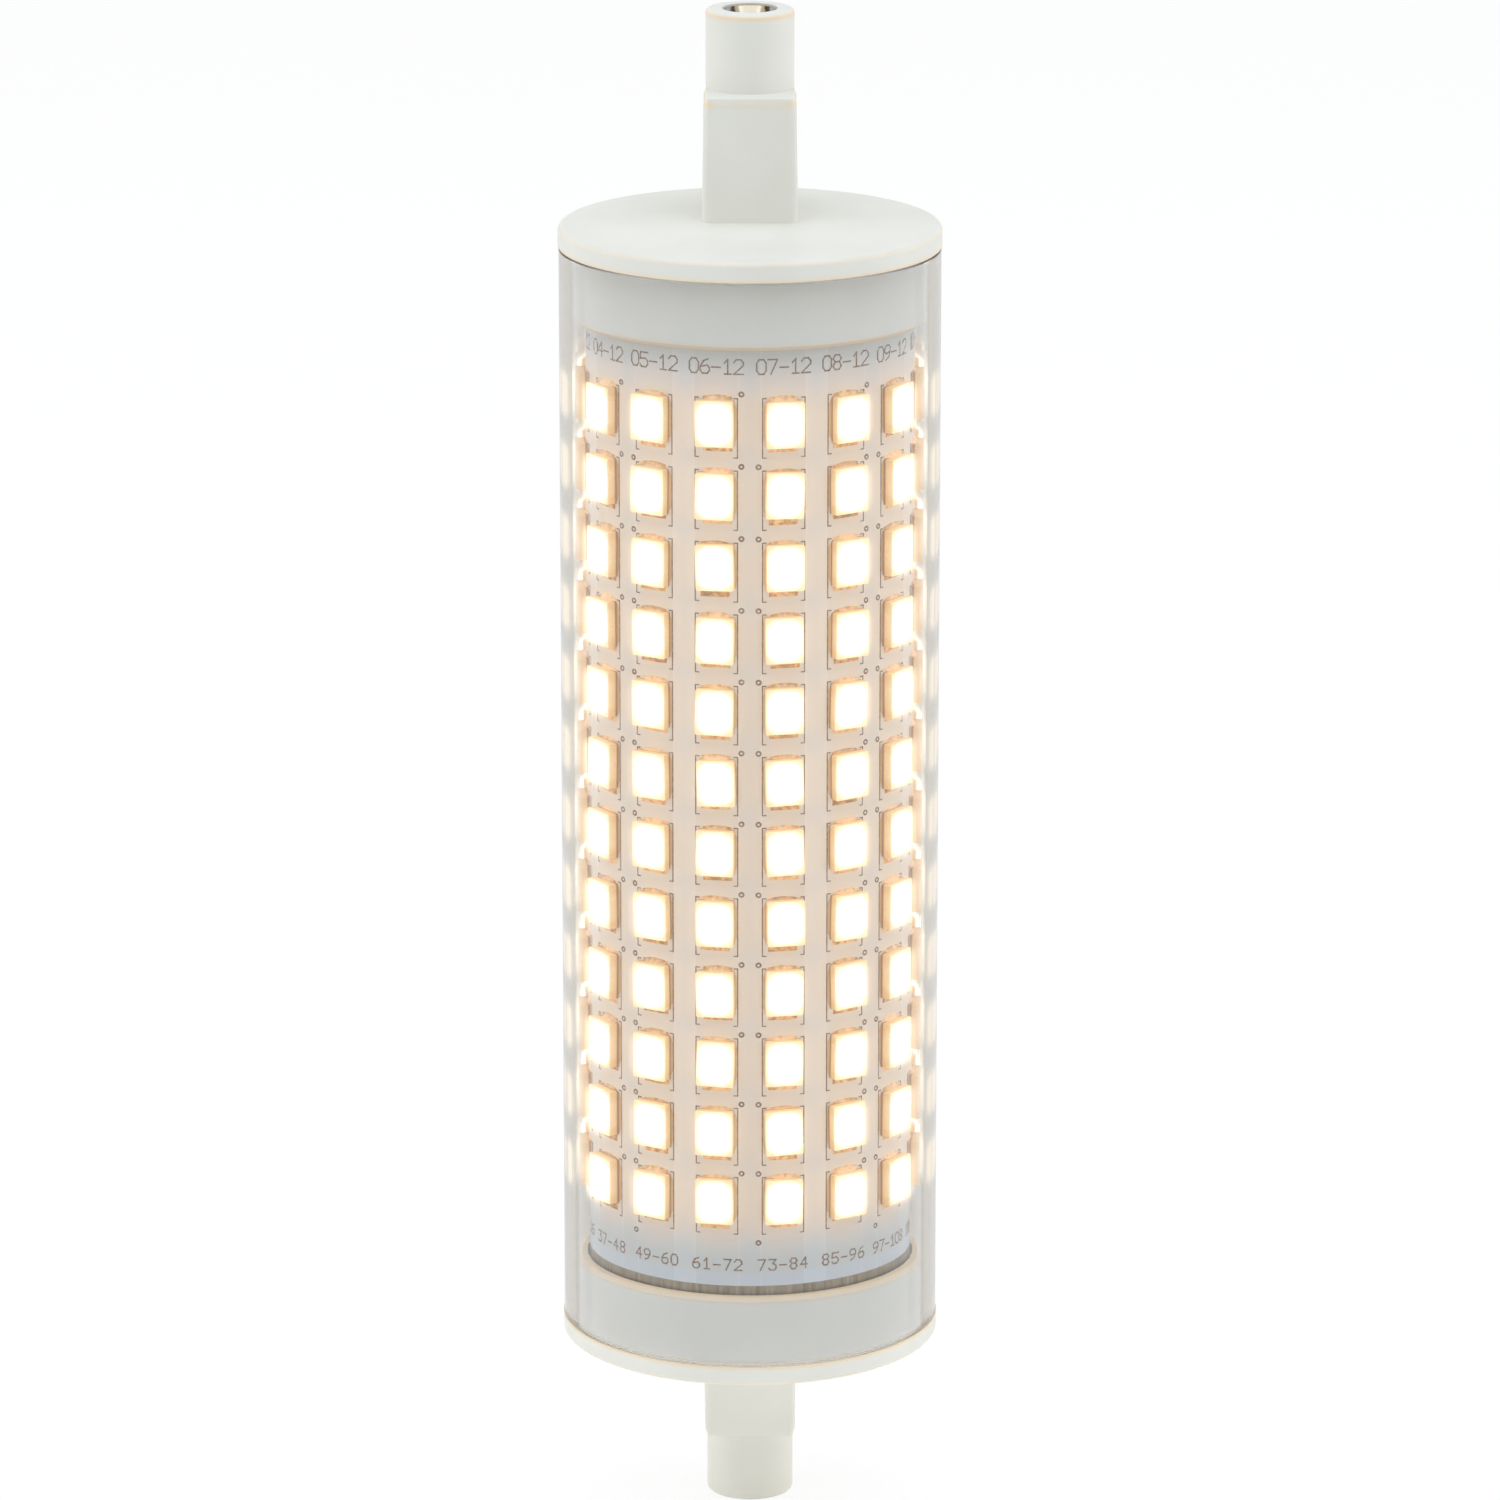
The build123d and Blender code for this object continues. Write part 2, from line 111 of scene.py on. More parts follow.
class LampSizes(bpy.types.PropertyGroup):
    """Sizes of the pieces that are made here."""

    tube_wall: size("Tube wall", "Thickness of the clear cover tube", 1.0)
    tube_edge: size("Tube edge", "Round on the tube's cut ends", 0.15)
    led_rows: IntProperty(name="LED rows", description="LEDs in one string", default=12, min=2)
    led_width: size("LED width", "Width of an LED's moulded body", 2.8)
    led_length: size("LED length", "Length of an LED's body along the lamp", 3.5)
    led_height: size("LED height", "Height of an LED's body over its seat", 0.7)
    led_corner: size("LED corner", "Round on the upright edges of an LED's body", 0.12)
    window_width: size("Window width", "Width of an LED's lit window", 2.4)
    window_length: size("Window length", "Length of an LED's lit window", 3.0)
    window_corner: size("Window corner", "Round on the corners of an LED's window", 0.7)
    window_depth: size("Window depth", "Depth of the phosphor in an LED's window", 0.35)
    glow_width: size("Glow width", "Width of the white-hot part of a lit LED", 2.5)
    glow_length: size("Glow length", "Length of the white-hot part of a lit LED", 2.95)
    glow_corner: size("Glow corner", "Round on the corners of the white-hot part", 0.9)
    seat_gap: size("Seat gap", "Solder between the board and an LED", 0.03)
    fillet_width: size("Fillet width", "Width of the solder at each end of an LED", 2.15)
    fillet_reach: size("Fillet reach", "How far the solder runs out from the LED", 0.32)
    pad_reach: size("Pad reach", "How far the solder of the low pad runs out from the LED", 0.48)
    fillet_height: size("Fillet height", "How high the solder climbs up the LED", 0.3)
    ink: size("Ink", "Thickness of the printed legend", 0.012)
    line: size("Line", "Width of a printed line", 0.088)
    ring_line: size("Ring line", "Width of the line of a printed ring", 0.14)
    bracket_side: size("Bracket side", "From the middle of an LED to the bracket beside it", 1.57)
    bracket_length: size("Bracket length", "Length of a printed bracket along the lamp", 4.6)
    bracket_drop: size("Bracket drop", "How far a bracket's middle lies below the LED's", 0.4)
    bracket_tick: size("Bracket tick", "Length of a bracket's ends", 0.3)
    ring_radius: size("Ring radius", "Radius of the printed rings beside the LEDs", 0.23)
    ring_side: size("Ring side", "From the middle of an LED to the ring beside it", 1.85)
    ring_rise: size("Ring rise", "Height of a ring over the LED on every other string", 2.18)
    ring_drop: size("Ring drop", "Depth of a ring below the LED on the strings between", 3.35)
    figure_height: size("Figure height", "Height of the printed ranges of numbers", 0.84)
    title_height: size("Title height", "Height of the printed string numbers", 1.1)
    wire_radius: size("Wire radius", "Radius of the feed wires", 0.35)
    blob_radius: size("Blob radius", "Radius of the solder on a feed wire's end", 0.75)


class LampColours(bpy.types.PropertyGroup):
    """Colours of the finishes."""

    clear_plastic: colour("Clear plastic", "Tint of the cover tube", "#FCFDFE")
    # Painted shade: the grey that the tube takes where its wall is seen edge-on
    plastic_edge_shade: colour("Plastic edge", "Tint of the cover tube where it is seen edge-on", "#9B9383")
    cap: colour("Cap", "Ivory white of the end caps", "#E7E6DE")
    # Painted warm light and highlights on the caps' thin rims and edges
    cap_painted_glow: colour("Cap glow", "Where light comes through thin edges of the caps", "#F1DBB9")
    nickel: colour("Nickel", "Plating of the end contacts", "#C9BDA8")
    nickel_rim: colour("Nickel rim", "Plating at the rim of the end contacts", "#9CA2AC")
    # Painted reflection: the dark brown that the contacts' dish shows to either side of its bright middle
    reflected_brown: colour("Tarnish", "Brown of the end contacts where nothing rubs them", "#5C4B38")
    mask: colour("Mask", "White solder mask over copper", "#D6D5D0")
    mask_edge: colour("Mask edge", "Solder mask on the bare border of the board", "#CDD3DA")
    # Bare aluminium, its colour warmed with painted LED light
    aluminium: colour("Aluminium", "Bare metal of the board", "#AA9C84")
    led_body: colour("LED body", "Moulded body of an LED", "#E8D4B2")
    lit: colour("Lit window", "Light of the phosphor", "#FFF3DC")
    amber: colour("Amber", "Light that leaks through an LED's walls", "#DDAE6C")
    solder: colour("Solder", "Solder and flux in the light of the LEDs", "#C98A28")
    ink: colour("Ink", "Printed legend", "#7A5226")
    floor: colour("Floor", "Pale floor and backdrop", "#F2F2F2")


def add_node(tree, kind, inputs=(), out=0, stops=(), **settings):
    """Add a node with its settings and links, and give one of its output sockets.

    kind may end in a mathematical operation, as in "Math ADD". inputs are values or other nodes' sockets, in
    order or in a dict by socket. stops are a colour ramp's (place, colour) pairs, from low to high.
    """
    kind, *operation = kind.split()
    made = tree.nodes.new(kind if "Node" in kind else f"ShaderNode{kind}")
    if operation:
        made.operation = operation[0]
    for key, value in settings.items():
        setattr(made, key, value)
    for key, value in inputs.items() if isinstance(inputs, dict) else enumerate(inputs):
        if isinstance(value, bpy.types.NodeSocket):
            tree.links.new(value, made.inputs[key])
        else:
            made.inputs[key].default_value = value
    if stops:
        elements = made.color_ramp.elements
        while len(elements) > 1:
            elements.remove(elements[-1])
        elements[0].position = stops[0][0]
        elements[0].color = (*stops[0][1], 1.0)
        for place, shade in stops[1:]:
            elements.new(place).color = (*shade, 1.0)
    return made.outputs[out] if made.outputs else None


# Settings of a Mix node that blends two colours, and of one that multiplies them, which also lays painted
# light and shade over a colour
BLEND = {"out": 2, "data_type": "RGBA"}
MULTIPLIED = {**BLEND, "blend_type": "MULTIPLY"}


def mixed(first, second, share):
    """Colour between two others."""
    return tuple(a + (b - a) * share for a, b in zip(first, second))


def dimmed(shade, share):
    """Colour with a share of another's light."""
    return tuple(share * c for c in shade)


def new_material(name):
    """Empty node material, and the function that adds nodes to it."""
    material = bpy.data.materials.new(name)
    material.use_nodes = True
    material.node_tree.nodes.clear()
    return material, partial(add_node, material.node_tree)


def finished(material, surface, faint=False):
    """Material that ends in this surface; one with a faint glow isn't sampled as a lamp."""
    add_node(material.node_tree, "OutputMaterial", (surface,))
    if faint:
        material.cycles.emission_sampling = "NONE"
    return material


def clouded(add, place, width, dark, light, detail=2.0):
    """Socket with a tint that drifts between two colours, in patches of a width in millimetres."""
    patch = add("TexNoise", {"Vector": place, "Scale": 1 / (width * MM), "Detail": detail})
    return add("ValToRGB", (patch,), stops=[(0.3, dark), (0.7, light)])


def graded(add, value, low, high, stops):
    """Socket with a colour that follows a value from low to high; the stops are (value, colour) pairs."""
    share = add("MapRange", (value, low, high))
    places = [((stop - low) / (high - low), shade) for stop, shade in stops]
    return add("ValToRGB", (share,), stops=places)


def grained(add, fine, depth, strength, smooth, rough):
    """Shader inputs for a fine grain: a bump, its depth in millimetres, and the roughness that goes with it.

    Grain and marks that are too fine to show in a render are drawn as coarse as they need to show.
    """
    return {
        "Normal": add("Bump", {"Height": fine, "Distance": depth * MM, "Strength": strength}),
        "Roughness": add("MapRange", (fine, 0.0, 1.0, smooth, rough)),
    }


def lamp_place(add):
    """Sockets for a point: Object coordinates, turn from the front, distance from the axis and height."""
    place = add("TexCoord", out="Object")
    x, y, height = add("SeparateXYZ", (place,)).node.outputs
    front = add("Math MULTIPLY", (y, -1.0))
    turn = add("Math ARCTAN2", (x, front))
    level = add("VectorMath MULTIPLY", (place, (1.0, 1.0, 0.0)))
    radius = add("VectorMath LENGTH", (level,), out="Value")
    return place, turn, radius, height


def rounded_box(add, spot, width, length, corner):
    """Socket with a point's distance, in millimetres, from the edge of a rounded rectangle.

    spot is how far the point lies from the middle, in millimetres and never negative.
    """
    corner = corner / MM
    core = (width / MM / 2 - corner, length / MM / 2 - corner, 0.0)
    past = add("VectorMath SUBTRACT", (spot, core))
    past = add("VectorMath MAXIMUM", (past, BLACK))
    reach = add("VectorMath LENGTH", (past,), out="Value")
    return add("Math SUBTRACT", (reach, corner))


def led_distance(add, turn, height, grid, sizes):
    """Socket with the distance, in millimetres, from the nearest LED's window, round and along the lamp."""
    turn = add("Math SUBTRACT", (turn, grid.first_angle))
    drop = add("Math SUBTRACT", (grid.top_row, height))
    spot = []
    for way, scale, pitch, count in (
        (turn, BOARD_RADIUS / MM, COLUMN_ANGLE * BOARD_RADIUS / MM, len(STRINGS)),
        (drop, 1 / MM, grid.row_pitch / MM, grid.rows),
    ):
        way = add("Math MULTIPLY", (way, scale))
        last = add("Clamp", (way, 0.0, pitch * (count - 1)))
        past = add("Math SUBTRACT", (way, last))
        past = add("Math ABSOLUTE", (past,))
        near = add("Math PINGPONG", (way, pitch / 2))
        spot.append(add("Math MAXIMUM", (near, past)))
    spot = add("CombineXYZ", spot)
    return rounded_box(add, spot, sizes.window_width, sizes.window_length, sizes.window_corner)


def glow_distance(add, sizes):
    """Socket with the distance, in millimetres, from an LED's white-hot part, from the LED's own UV map."""
    flat = add("UVMap", uv_map="plan")
    middle = add("VectorMath ADD", (flat, (-0.5, -0.5, 0.0)))
    body = (sizes.led_width / MM, sizes.led_length / MM, 0.0)
    spot = add("VectorMath MULTIPLY", (middle, body))
    spot = add("VectorMath ABSOLUTE", (spot,))
    return rounded_box(add, spot, sizes.glow_width, sizes.glow_length, sizes.glow_corner)


def moulded_plastic(name, code, roughness=0.45, width=0.3, depth=0.004, spread=0.05):
    """Moulded or dipped plastic: one tint that drifts a little, over the fine grain of a spark-eroded tool.

    width and depth are the grain's, in millimetres, and spread is how far the tint drifts.
    """
    material, add = new_material(name)
    place, shade = add("TexCoord", out="Object"), linear(code)
    tint = clouded(add, place, 6.0, dimmed(shade, 1 - spread), shade)
    fine = add("TexNoise", {"Vector": place, "Scale": 1 / (width * MM), "Detail": 1.0})
    surface = grained(add, fine, depth, 0.6, roughness - 0.05, roughness + 0.05)
    return finished(material, add("BsdfPrincipled", {"Base Color": tint, "IOR": 1.5, **surface}))


def plated_metal(name, code, roughness, ridge):
    """Drawn, turned or plated metal: a tight highlight, broken up by tool marks.

    ridge is how far apart they are, in millimetres, and is as coarse as they need to show.
    """
    material, add = new_material(name)
    place, shade = add("TexCoord", out="Object"), linear(code)
    marks = add("TexNoise", {"Vector": place, "Scale": 1 / (ridge * MM), "Detail": 3.0})
    tint = add("ValToRGB", (marks,), stops=[(0.3, dimmed(shade, 0.85)), (0.7, shade)])
    rough = add("MapRange", (marks, 0.0, 1.0, roughness * 0.7, roughness * 1.3))
    metal = {"Base Color": tint, "Metallic": 1.0, "Roughness": rough}
    return finished(material, add("BsdfPrincipled", metal))


def plated_contact(colours):
    """Nickel-plated turned brass with a painted reflection across it: bright in the middle, where the dish
    mirrors the lamps, dark brown to either side; further out it is blue-grey at the rim.

    Its turning marks are drawn as coarse as they need to show.
    """
    material, add = new_material("Nickel-plated turned brass")
    place = add("TexCoord", out="Object")
    # Painted reflection: the colour follows the distance to either side of the middle
    aside = add("SeparateXYZ", (place,), out="X")
    aside = add("Math ABSOLUTE", (aside,))
    aside = add("Math MULTIPLY", (aside, 0.5 / MM))
    marks = add("TexNoise", {"Vector": place, "Scale": 1 / (0.25 * MM), "Detail": 3.0})
    mirror_place = add("Math MULTIPLY_ADD", (marks, 0.25, aside))
    brown = colours.reflected_brown
    painted_reflection = [(0.66, colours.nickel), (0.72, brown), (0.82, brown), (0.9, colours.nickel_rim)]
    tint = add("ValToRGB", (mirror_place,), stops=painted_reflection)
    rough = add("MapRange", (marks, 0.0, 1.0, 0.12, 0.25))
    metal = {"Base Color": tint, "Metallic": 1.0, "Roughness": rough}
    return finished(material, add("BsdfPrincipled", metal))


def clear_polycarbonate(colours, sizes, grid):
    """Extruded clear polycarbonate: high gloss, with a painted grey shade where the wall is seen edge-on,
    faint lines along it.

    The lines come from the die and are drawn as coarse as they need to show. The sawn ends are matt. The bore
    has a painted glow of warm LED light over and around the LEDs right under it, for light that a hazy wall
    would scatter. Shadow rays pass through, so the lamps of the stage light what is inside.
    """
    material, add = new_material("Extruded clear polycarbonate")
    place, turn, radius, height = lamp_place(add)
    drawn = add("Mapping", {"Vector": place, "Scale": (1.0, 1.0, 0.004)})
    lines = add("TexNoise", {"Vector": drawn, "Scale": 1 / (0.35 * MM), "Detail": 2.0})
    surface = grained(add, lines, 0.004, 0.5, 0.01, 0.05)
    end = add("Math ABSOLUTE", (height,))
    sawn = add("Math GREATER_THAN", (end, TUBE_END - 1.1 * sizes.tube_edge))
    rough = add("Math MULTIPLY_ADD", (sawn, 0.6, surface["Roughness"]))

    # Painted shade: the tint turns grey where the wall is seen edge-on
    facing = add("LayerWeight", {"Blend": 0.5}, out="Facing")
    clear, edge = colours.clear_plastic, colours.plastic_edge_shade
    wall = [(0.49, clear), (0.53, mixed(clear, edge, 0.2)), (0.61, mixed(clear, edge, 0.25)), (0.65, edge)]
    tint = add("ValToRGB", (facing,), stops=wall)

    # Painted glow: the bore emits warm LED light over and around each LED, more where the wall is seen
    # edge-on
    away = led_distance(add, turn, height, grid, sizes)
    warm = mixed(colours.lit, colours.amber, 0.3)
    glow = [(-0.2, warm), (0.1, dimmed(warm, 0.6)), (0.46, dimmed(warm, 0.12)), (1.0, BLACK)]
    glow = graded(add, away, -0.2, 1.0, glow)
    painted_bore_glow = add("MapRange", (lines, 0.3, 0.7, 0.3, 1.0))
    flat_on = add("MapRange", (facing, 0.08, 0.22, 0.2, 1.0))
    edge_on = add("MapRange", (facing, 0.45, 0.75, 1.0, 2.0))
    bore = add("Math LESS_THAN", (radius, TUBE_RADIUS - sizes.tube_wall / 2))
    for share in (flat_on, edge_on, bore):
        painted_bore_glow = add("Math MULTIPLY", (painted_bore_glow, share))
    light = {"Emission Color": glow, "Emission Strength": painted_bore_glow}
    gloss = {"Transmission Weight": 1.0, "IOR": 1.58, "Roughness": rough, "Normal": surface["Normal"]}
    open_way = add("BsdfTransparent", ((0.95, 0.95, 0.95, 1.0),))
    shadow = add("LightPath", out="Is Shadow Ray")
    glass = add("BsdfPrincipled", {"Base Color": tint, **gloss, **light})
    return finished(material, add("MixShader", (shadow, glass, open_way)), faint=True)


def ivory_cap_plastic(colours):
    """Moulded ivory-white polyester, satin and a little translucent, with painted warm light on its thin rims
    and edges and a painted lighter sleeve wall.
    """
    material, add = new_material("Moulded ivory polyester")
    place = add("TexCoord", out="Object")
    x, _, height = add("SeparateXYZ", (place,)).node.outputs
    level = add("Math ABSOLUTE", (height,))
    aside = add("Math ABSOLUTE", (x,))
    plain, glow = colours.cap, colours.cap_painted_glow
    pale = mixed(plain, WHITE, 0.12)
    # Millimetres from the lamp's middle: painted warm light on the sleeve's lip, a painted lighter sleeve
    # wall, and painted warm highlights on the flange's two edges
    heights = (
        (37.0, mixed(plain, glow, 0.7)),
        (37.4, pale),
        (41.9, pale),
        (42.1, glow),
        (42.4, plain),
        (43.25, plain),
        (43.45, mixed(plain, glow, 0.45)),
        (43.58, plain),
    )
    stops = [(SLEEVE_END, glow), *((millimetres * MM, shade) for millimetres, shade in heights)]
    tint = graded(add, level, SLEEVE_END, NOSE_END, stops)

    # Painted warm highlights in bands that rise to a peak and fall again, below the shoulder of the upper
    # stem and below its nose's rim; the shoulder's grows towards the block's corners
    highlight_bands = []
    for top, low, peak, high in ((SHOULDER, 0.85, 0.35, 0.1), (NOSE_END, 0.6, 0.25, 0.03)):
        sides = [add("MapRange", (height, top - foot * MM, top - peak * MM)) for foot in (low, high)]
        highlight_bands.append(add("Math MINIMUM", sides))
    corner = add("MapRange", (aside, 2.4 * MM, 3.4 * MM, 0.3, 1.0))
    shoulder = add("Math MULTIPLY", (highlight_bands[0], corner))
    warm = add("Math MAXIMUM", (shoulder, highlight_bands[1]))
    # The painted warm highlights are mixed into the colour
    tint = add("Mix", {0: warm, 6: tint, 7: (*glow, 1.0)}, **BLEND)
    cloud = clouded(add, place, 7.0, (0.95, 0.95, 0.935), WHITE)
    base = add("Mix", {0: 1.0, 6: tint, 7: cloud}, **MULTIPLIED)
    fine = add("TexNoise", {"Vector": place, "Scale": 1 / (0.3 * MM), "Detail": 1.0})
    surface = grained(add, fine, 0.006, 0.5, 0.42, 0.55)
    return finished(material, add("BsdfPrincipled", {"Base Color": base, "IOR": 1.52, **surface}))


def masked_aluminium(colours, sizes, grid):
    """White solder mask on rolled aluminium: chalky, with the copper's edges under it showing as faint steps.

    Painted amber light from the LEDs' sides lies close beside each LED, and a painted glow of the LEDs' own
    light, sent back by the tube, warms it. The zone of the rows is painted a warmer white for that light, so
    the border past the last row is cooler. A narrow strip at the low end is bare metal, as the inside is,
    with rolling marks that are drawn as coarse as they need to show.
    """
    material, add = new_material("White solder mask on rolled aluminium")
    place, turn, radius, height = lamp_place(add)
    columns = add("Math DIVIDE", (turn, COLUMN_ANGLE))
    across = add("Math PINGPONG", (columns, 1.0))
    mask = colours.mask
    pale, edge = mixed(mask, WHITE, 0.12), mixed(mask, WHITE, 0.25)
    steps = [(0.0, mask), (0.155, mask), (0.165, edge), (0.18, mask)]
    steps += [(0.82, mask), (0.835, edge), (0.85, pale), (1.0, pale)]
    copper = add("ValToRGB", (across,), stops=steps)

    # Painted light: a warmer white over the rows, cooler past them
    white, cool, low_cool = (1.0, 0.985, 0.95), (0.96, 0.98, 1.0), (0.91, 0.95, 0.98)
    border = tuple(a / b for a, b in zip(colours.mask_edge, mask))
    # Millimetres over the lamp's middle: the bare border and the copper's edge, then the zones of the rows,
    # painted a warmer white where the LEDs' light falls and cooler past them
    heights = (
        (-35.08, border),
        (-35.06, dimmed(border, 0.8)),
        (-35.0, low_cool),
        (-32.6, low_cool),
        (-31.5, white),
        (33.2, white),
        (34.0, cool),
    )
    stops = [(millimetres * MM, shade) for millimetres, shade in heights]
    tone = graded(add, height, -BOARD_END, BOARD_END, stops)
    away = led_distance(add, turn, height, grid, sizes)
    # Painted light: the warm amber that each LED's sides throw on the board close beside it
    flux = graded(add, away, 0.0, 4.0, [(0.34, (0.85, 0.6, 0.32)), (0.42, WHITE)])
    painted = add("Mix", {0: 1.0, 6: copper, 7: tone}, **MULTIPLIED)
    painted = add("Mix", {0: 1.0, 6: painted, 7: flux}, **MULTIPLIED)

    inside = add("Math LESS_THAN", (radius, BOARD_RADIUS - 0.1 * MM))
    low_end = add("Math LESS_THAN", (height, MASK_END))
    bare = add("Math MAXIMUM", (inside, low_end))
    rolled = add("Mapping", {"Vector": place, "Scale": (1.0, 1.0, 0.08)})
    metal = clouded(add, rolled, 0.2, dimmed(colours.aluminium, 0.55), colours.aluminium)
    base = add("Mix", {0: bare, 6: painted, 7: metal}, **BLEND)

    # Painted glow: the board emits warm light near each LED, for the LEDs' light that the tube sends back
    warm = (1.0, 0.42, 0.1)
    glow = [(0.0, (1.7, 1.1, 0.55)), (0.48, (1.2, 0.65, 0.25)), (1.2, warm), (2.0, dimmed(warm, 0.65))]
    glow = graded(add, away, 0.0, 4.0, [*glow, (3.2, BLACK)])
    lit = add("Math SUBTRACT", (1.0, bare))
    lit = add("Math MULTIPLY", (lit, 0.15))
    fine = add("TexNoise", {"Vector": place, "Scale": 1 / (0.25 * MM), "Detail": 2.0})
    surface = grained(add, fine, 0.006, 0.5, 0.45, 0.6)
    light = {"Emission Color": glow, "Emission Strength": lit}
    board = {"Base Color": base, "Metallic": bare, "IOR": 1.5, **surface, **light}
    return finished(material, add("BsdfPrincipled", board), faint=True)


def lit_led_body(colours, sizes):
    """Moulded white polyphthalamide of a lit LED: thin walls that glow cream, with painted shade that darkens
    them to brown towards the foot.
    """
    material, add = new_material("Moulded polyphthalamide, lit from inside")
    away = glow_distance(add, sizes)
    lit, amber, body = colours.lit, colours.amber, colours.led_body
    leaks = ((0.0, 0.0), (0.0875, 0.15), (0.175, 0.5), (0.35, 0.85))
    over = graded(add, away, 0.0, 0.35, [(far, mixed(lit, amber, share)) for far, share in leaks])
    # Painted shade: the walls darken to brown towards the foot, where the body meets the board
    rise = add("UVMap", uv_map="rise")
    rise = add("SeparateXYZ", (rise,), out="X")
    wall = [(0.0, (0.3, 0.15, 0.05)), (0.14, (0.42, 0.25, 0.1)), (0.22, (0.8, 0.68, 0.48))]
    wall += [(0.85, (0.92, 0.83, 0.66)), (1.0, WHITE)]
    walls = add("ValToRGB", (rise,), stops=wall)
    leak = add("Mix", {0: 1.0, 6: over, 7: walls}, **MULTIPLIED)
    place = add("TexCoord", out="Object")
    base = clouded(add, place, 0.2, dimmed(body, 0.9), body, 1.0)
    base = add("Mix", {0: 1.0, 6: base, 7: walls}, **MULTIPLIED)
    light = {"Emission Color": leak, "Emission Strength": 0.48}
    plastic = {"Base Color": base, "Roughness": 0.5, "IOR": 1.5, **light}
    return finished(material, add("BsdfPrincipled", plastic), faint=True)


def lit_phosphor(colours, sizes):
    """Phosphor in clear silicone, lit: white-hot in the middle, warmer where it thins at the edge."""
    material, add = new_material("Phosphor in silicone, lit")
    away, lit = glow_distance(add, sizes), colours.lit
    stops = [(-0.5, (1.0, 0.97, 0.9)), (-0.2, lit), (0.0, mixed(lit, colours.amber, 0.1))]
    glow = graded(add, away, -0.5, 0.0, stops)
    tone = add("Attribute", out="Fac", attribute_name="tone")
    power = add("MapRange", (tone, 0.0, 1.0, 2.6, 3.2))
    light = {"Emission Color": glow, "Emission Strength": power}
    silicone = {"Base Color": (*lit, 1.0), "Roughness": 0.25, "IOR": 1.41, **light}
    return finished(material, add("BsdfPrincipled", silicone))


def reflowed_solder(colours):
    """Reflowed tin solder under flux, stained amber, with painted bright glints, painted cream light where
    its slope faces up the lamp, and a faint painted glow.
    """
    material, add = new_material("Reflowed solder under flux")
    place = add("TexCoord", out="Object")
    patch = add("TexNoise", {"Vector": place, "Scale": 1 / (0.35 * MM), "Detail": 2.0})
    tone = add("Attribute", out="Fac", attribute_name="tone")
    # Real amber staining, with painted highlights at its light end for the small bright glints
    stain_and_glints = add("Math MULTIPLY_ADD", (tone, 0.3, patch))
    flux, lit = colours.solder, colours.lit
    stops = [(0.4, dimmed(flux, 0.4)), (0.55, dimmed(flux, 0.75)), (0.8, mixed(flux, lit, 0.2))]
    tint = add("ValToRGB", (stain_and_glints,), stops=stops)
    # Painted light: the slope that faces up the lamp turns cream
    climb = add("NewGeometry", out="Normal")
    climb = add("SeparateXYZ", (climb,), out="Z")
    climb = add("MapRange", (climb, 0.2, 0.7, 0.0, 0.6))
    tint = add("Mix", {0: climb, 6: tint, 7: (*mixed(flux, lit, 0.6), 1.0)}, **BLEND)
    # Painted glow: the solder emits a little of its own colour
    light = {"Emission Color": tint, "Emission Strength": 0.45}
    solder = {"Base Color": tint, "Roughness": 0.25, "IOR": 1.5, **light}
    return finished(material, add("BsdfPrincipled", solder), faint=True)


def legend_ink(colours):
    """Screen-printed epoxy ink: thin, matt and a little broken where the screen's mesh left less of it."""
    material, add = new_material("Screen-printed legend ink")
    place, ink = add("TexCoord", out="Object"), colours.ink
    cover = add("TexNoise", {"Vector": place, "Scale": 1 / (0.3 * MM), "Detail": 2.0})
    base = add("ValToRGB", (cover,), stops=[(0.35, ink), (0.75, mixed(ink, colours.mask, 0.4))])
    return finished(material, add("BsdfPrincipled", {"Base Color": base, "Roughness": 0.6, "IOR": 1.5}))


def pale_stage(name, shade, share):
    """Pale matt card that takes a faint shadow; seen straight, mirrored or through the tube, it is white."""
    material, add = new_material(name)
    place = add("TexCoord", out="Object")
    card = add("BsdfDiffuse", (clouded(add, place, 125.0, dimmed(shade, 0.99), shade),))
    white = add("Emission", ((*WHITE, 1.0), 1.06))
    rays = add("LightPath").node.outputs
    seen = rays["Is Camera Ray"]
    for kind in ("Is Glossy Ray", "Is Transmission Ray"):
        seen = add("Math MAXIMUM", (seen, rays[kind]))
    seen = add("Math MULTIPLY", (seen, share))
    return finished(material, add("MixShader", (seen, card, white)), faint=True)


def show(name, mesh, material=None):
    """Object with this mesh in the scene, at the origin."""
    piece = bpy.data.objects.new(name, mesh)
    bpy.context.scene.collection.objects.link(piece)
    if material:
        mesh.materials.clear()
        mesh.materials.append(material)
    return piece


def settle(piece, slot, *nodes):
    """Fix a finished piece to the lamp, in place of the CAD nodes that it stands for."""
    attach(piece, BODY)
    if nodes:
        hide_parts(*nodes)


def smooth_mesh(bm, name, crease=radians(28)):
    """Mesh from a bmesh, shaded smooth but for its creases."""
    for face in bm.faces:
        face.smooth = True
    for edge in bm.edges:
        edge.smooth = edge.calc_face_angle(0.0) < crease
    mesh = bpy.data.meshes.new(name)
    bm.to_mesh(mesh)
    bm.free()
    return mesh


def smooth_copy(node, name, material):
    """Piece with the shape of a CAD node, its loose triangles joined and shaded smooth."""
    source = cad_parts[node].data
    bm = bmesh.new()
    points = [bm.verts.new(vertex.co) for vertex in source.vertices]
    for face in source.polygons:
        bm.faces.new([points[i] for i in face.vertices])
    bmesh.ops.remove_doubles(bm, verts=bm.verts, dist=MERGE)
    piece = show(name, smooth_mesh(bm, name), material)
    weighted = piece.modifiers.new("Flat faces stay flat", "WEIGHTED_NORMAL")
    weighted.keep_sharp = True
    return piece


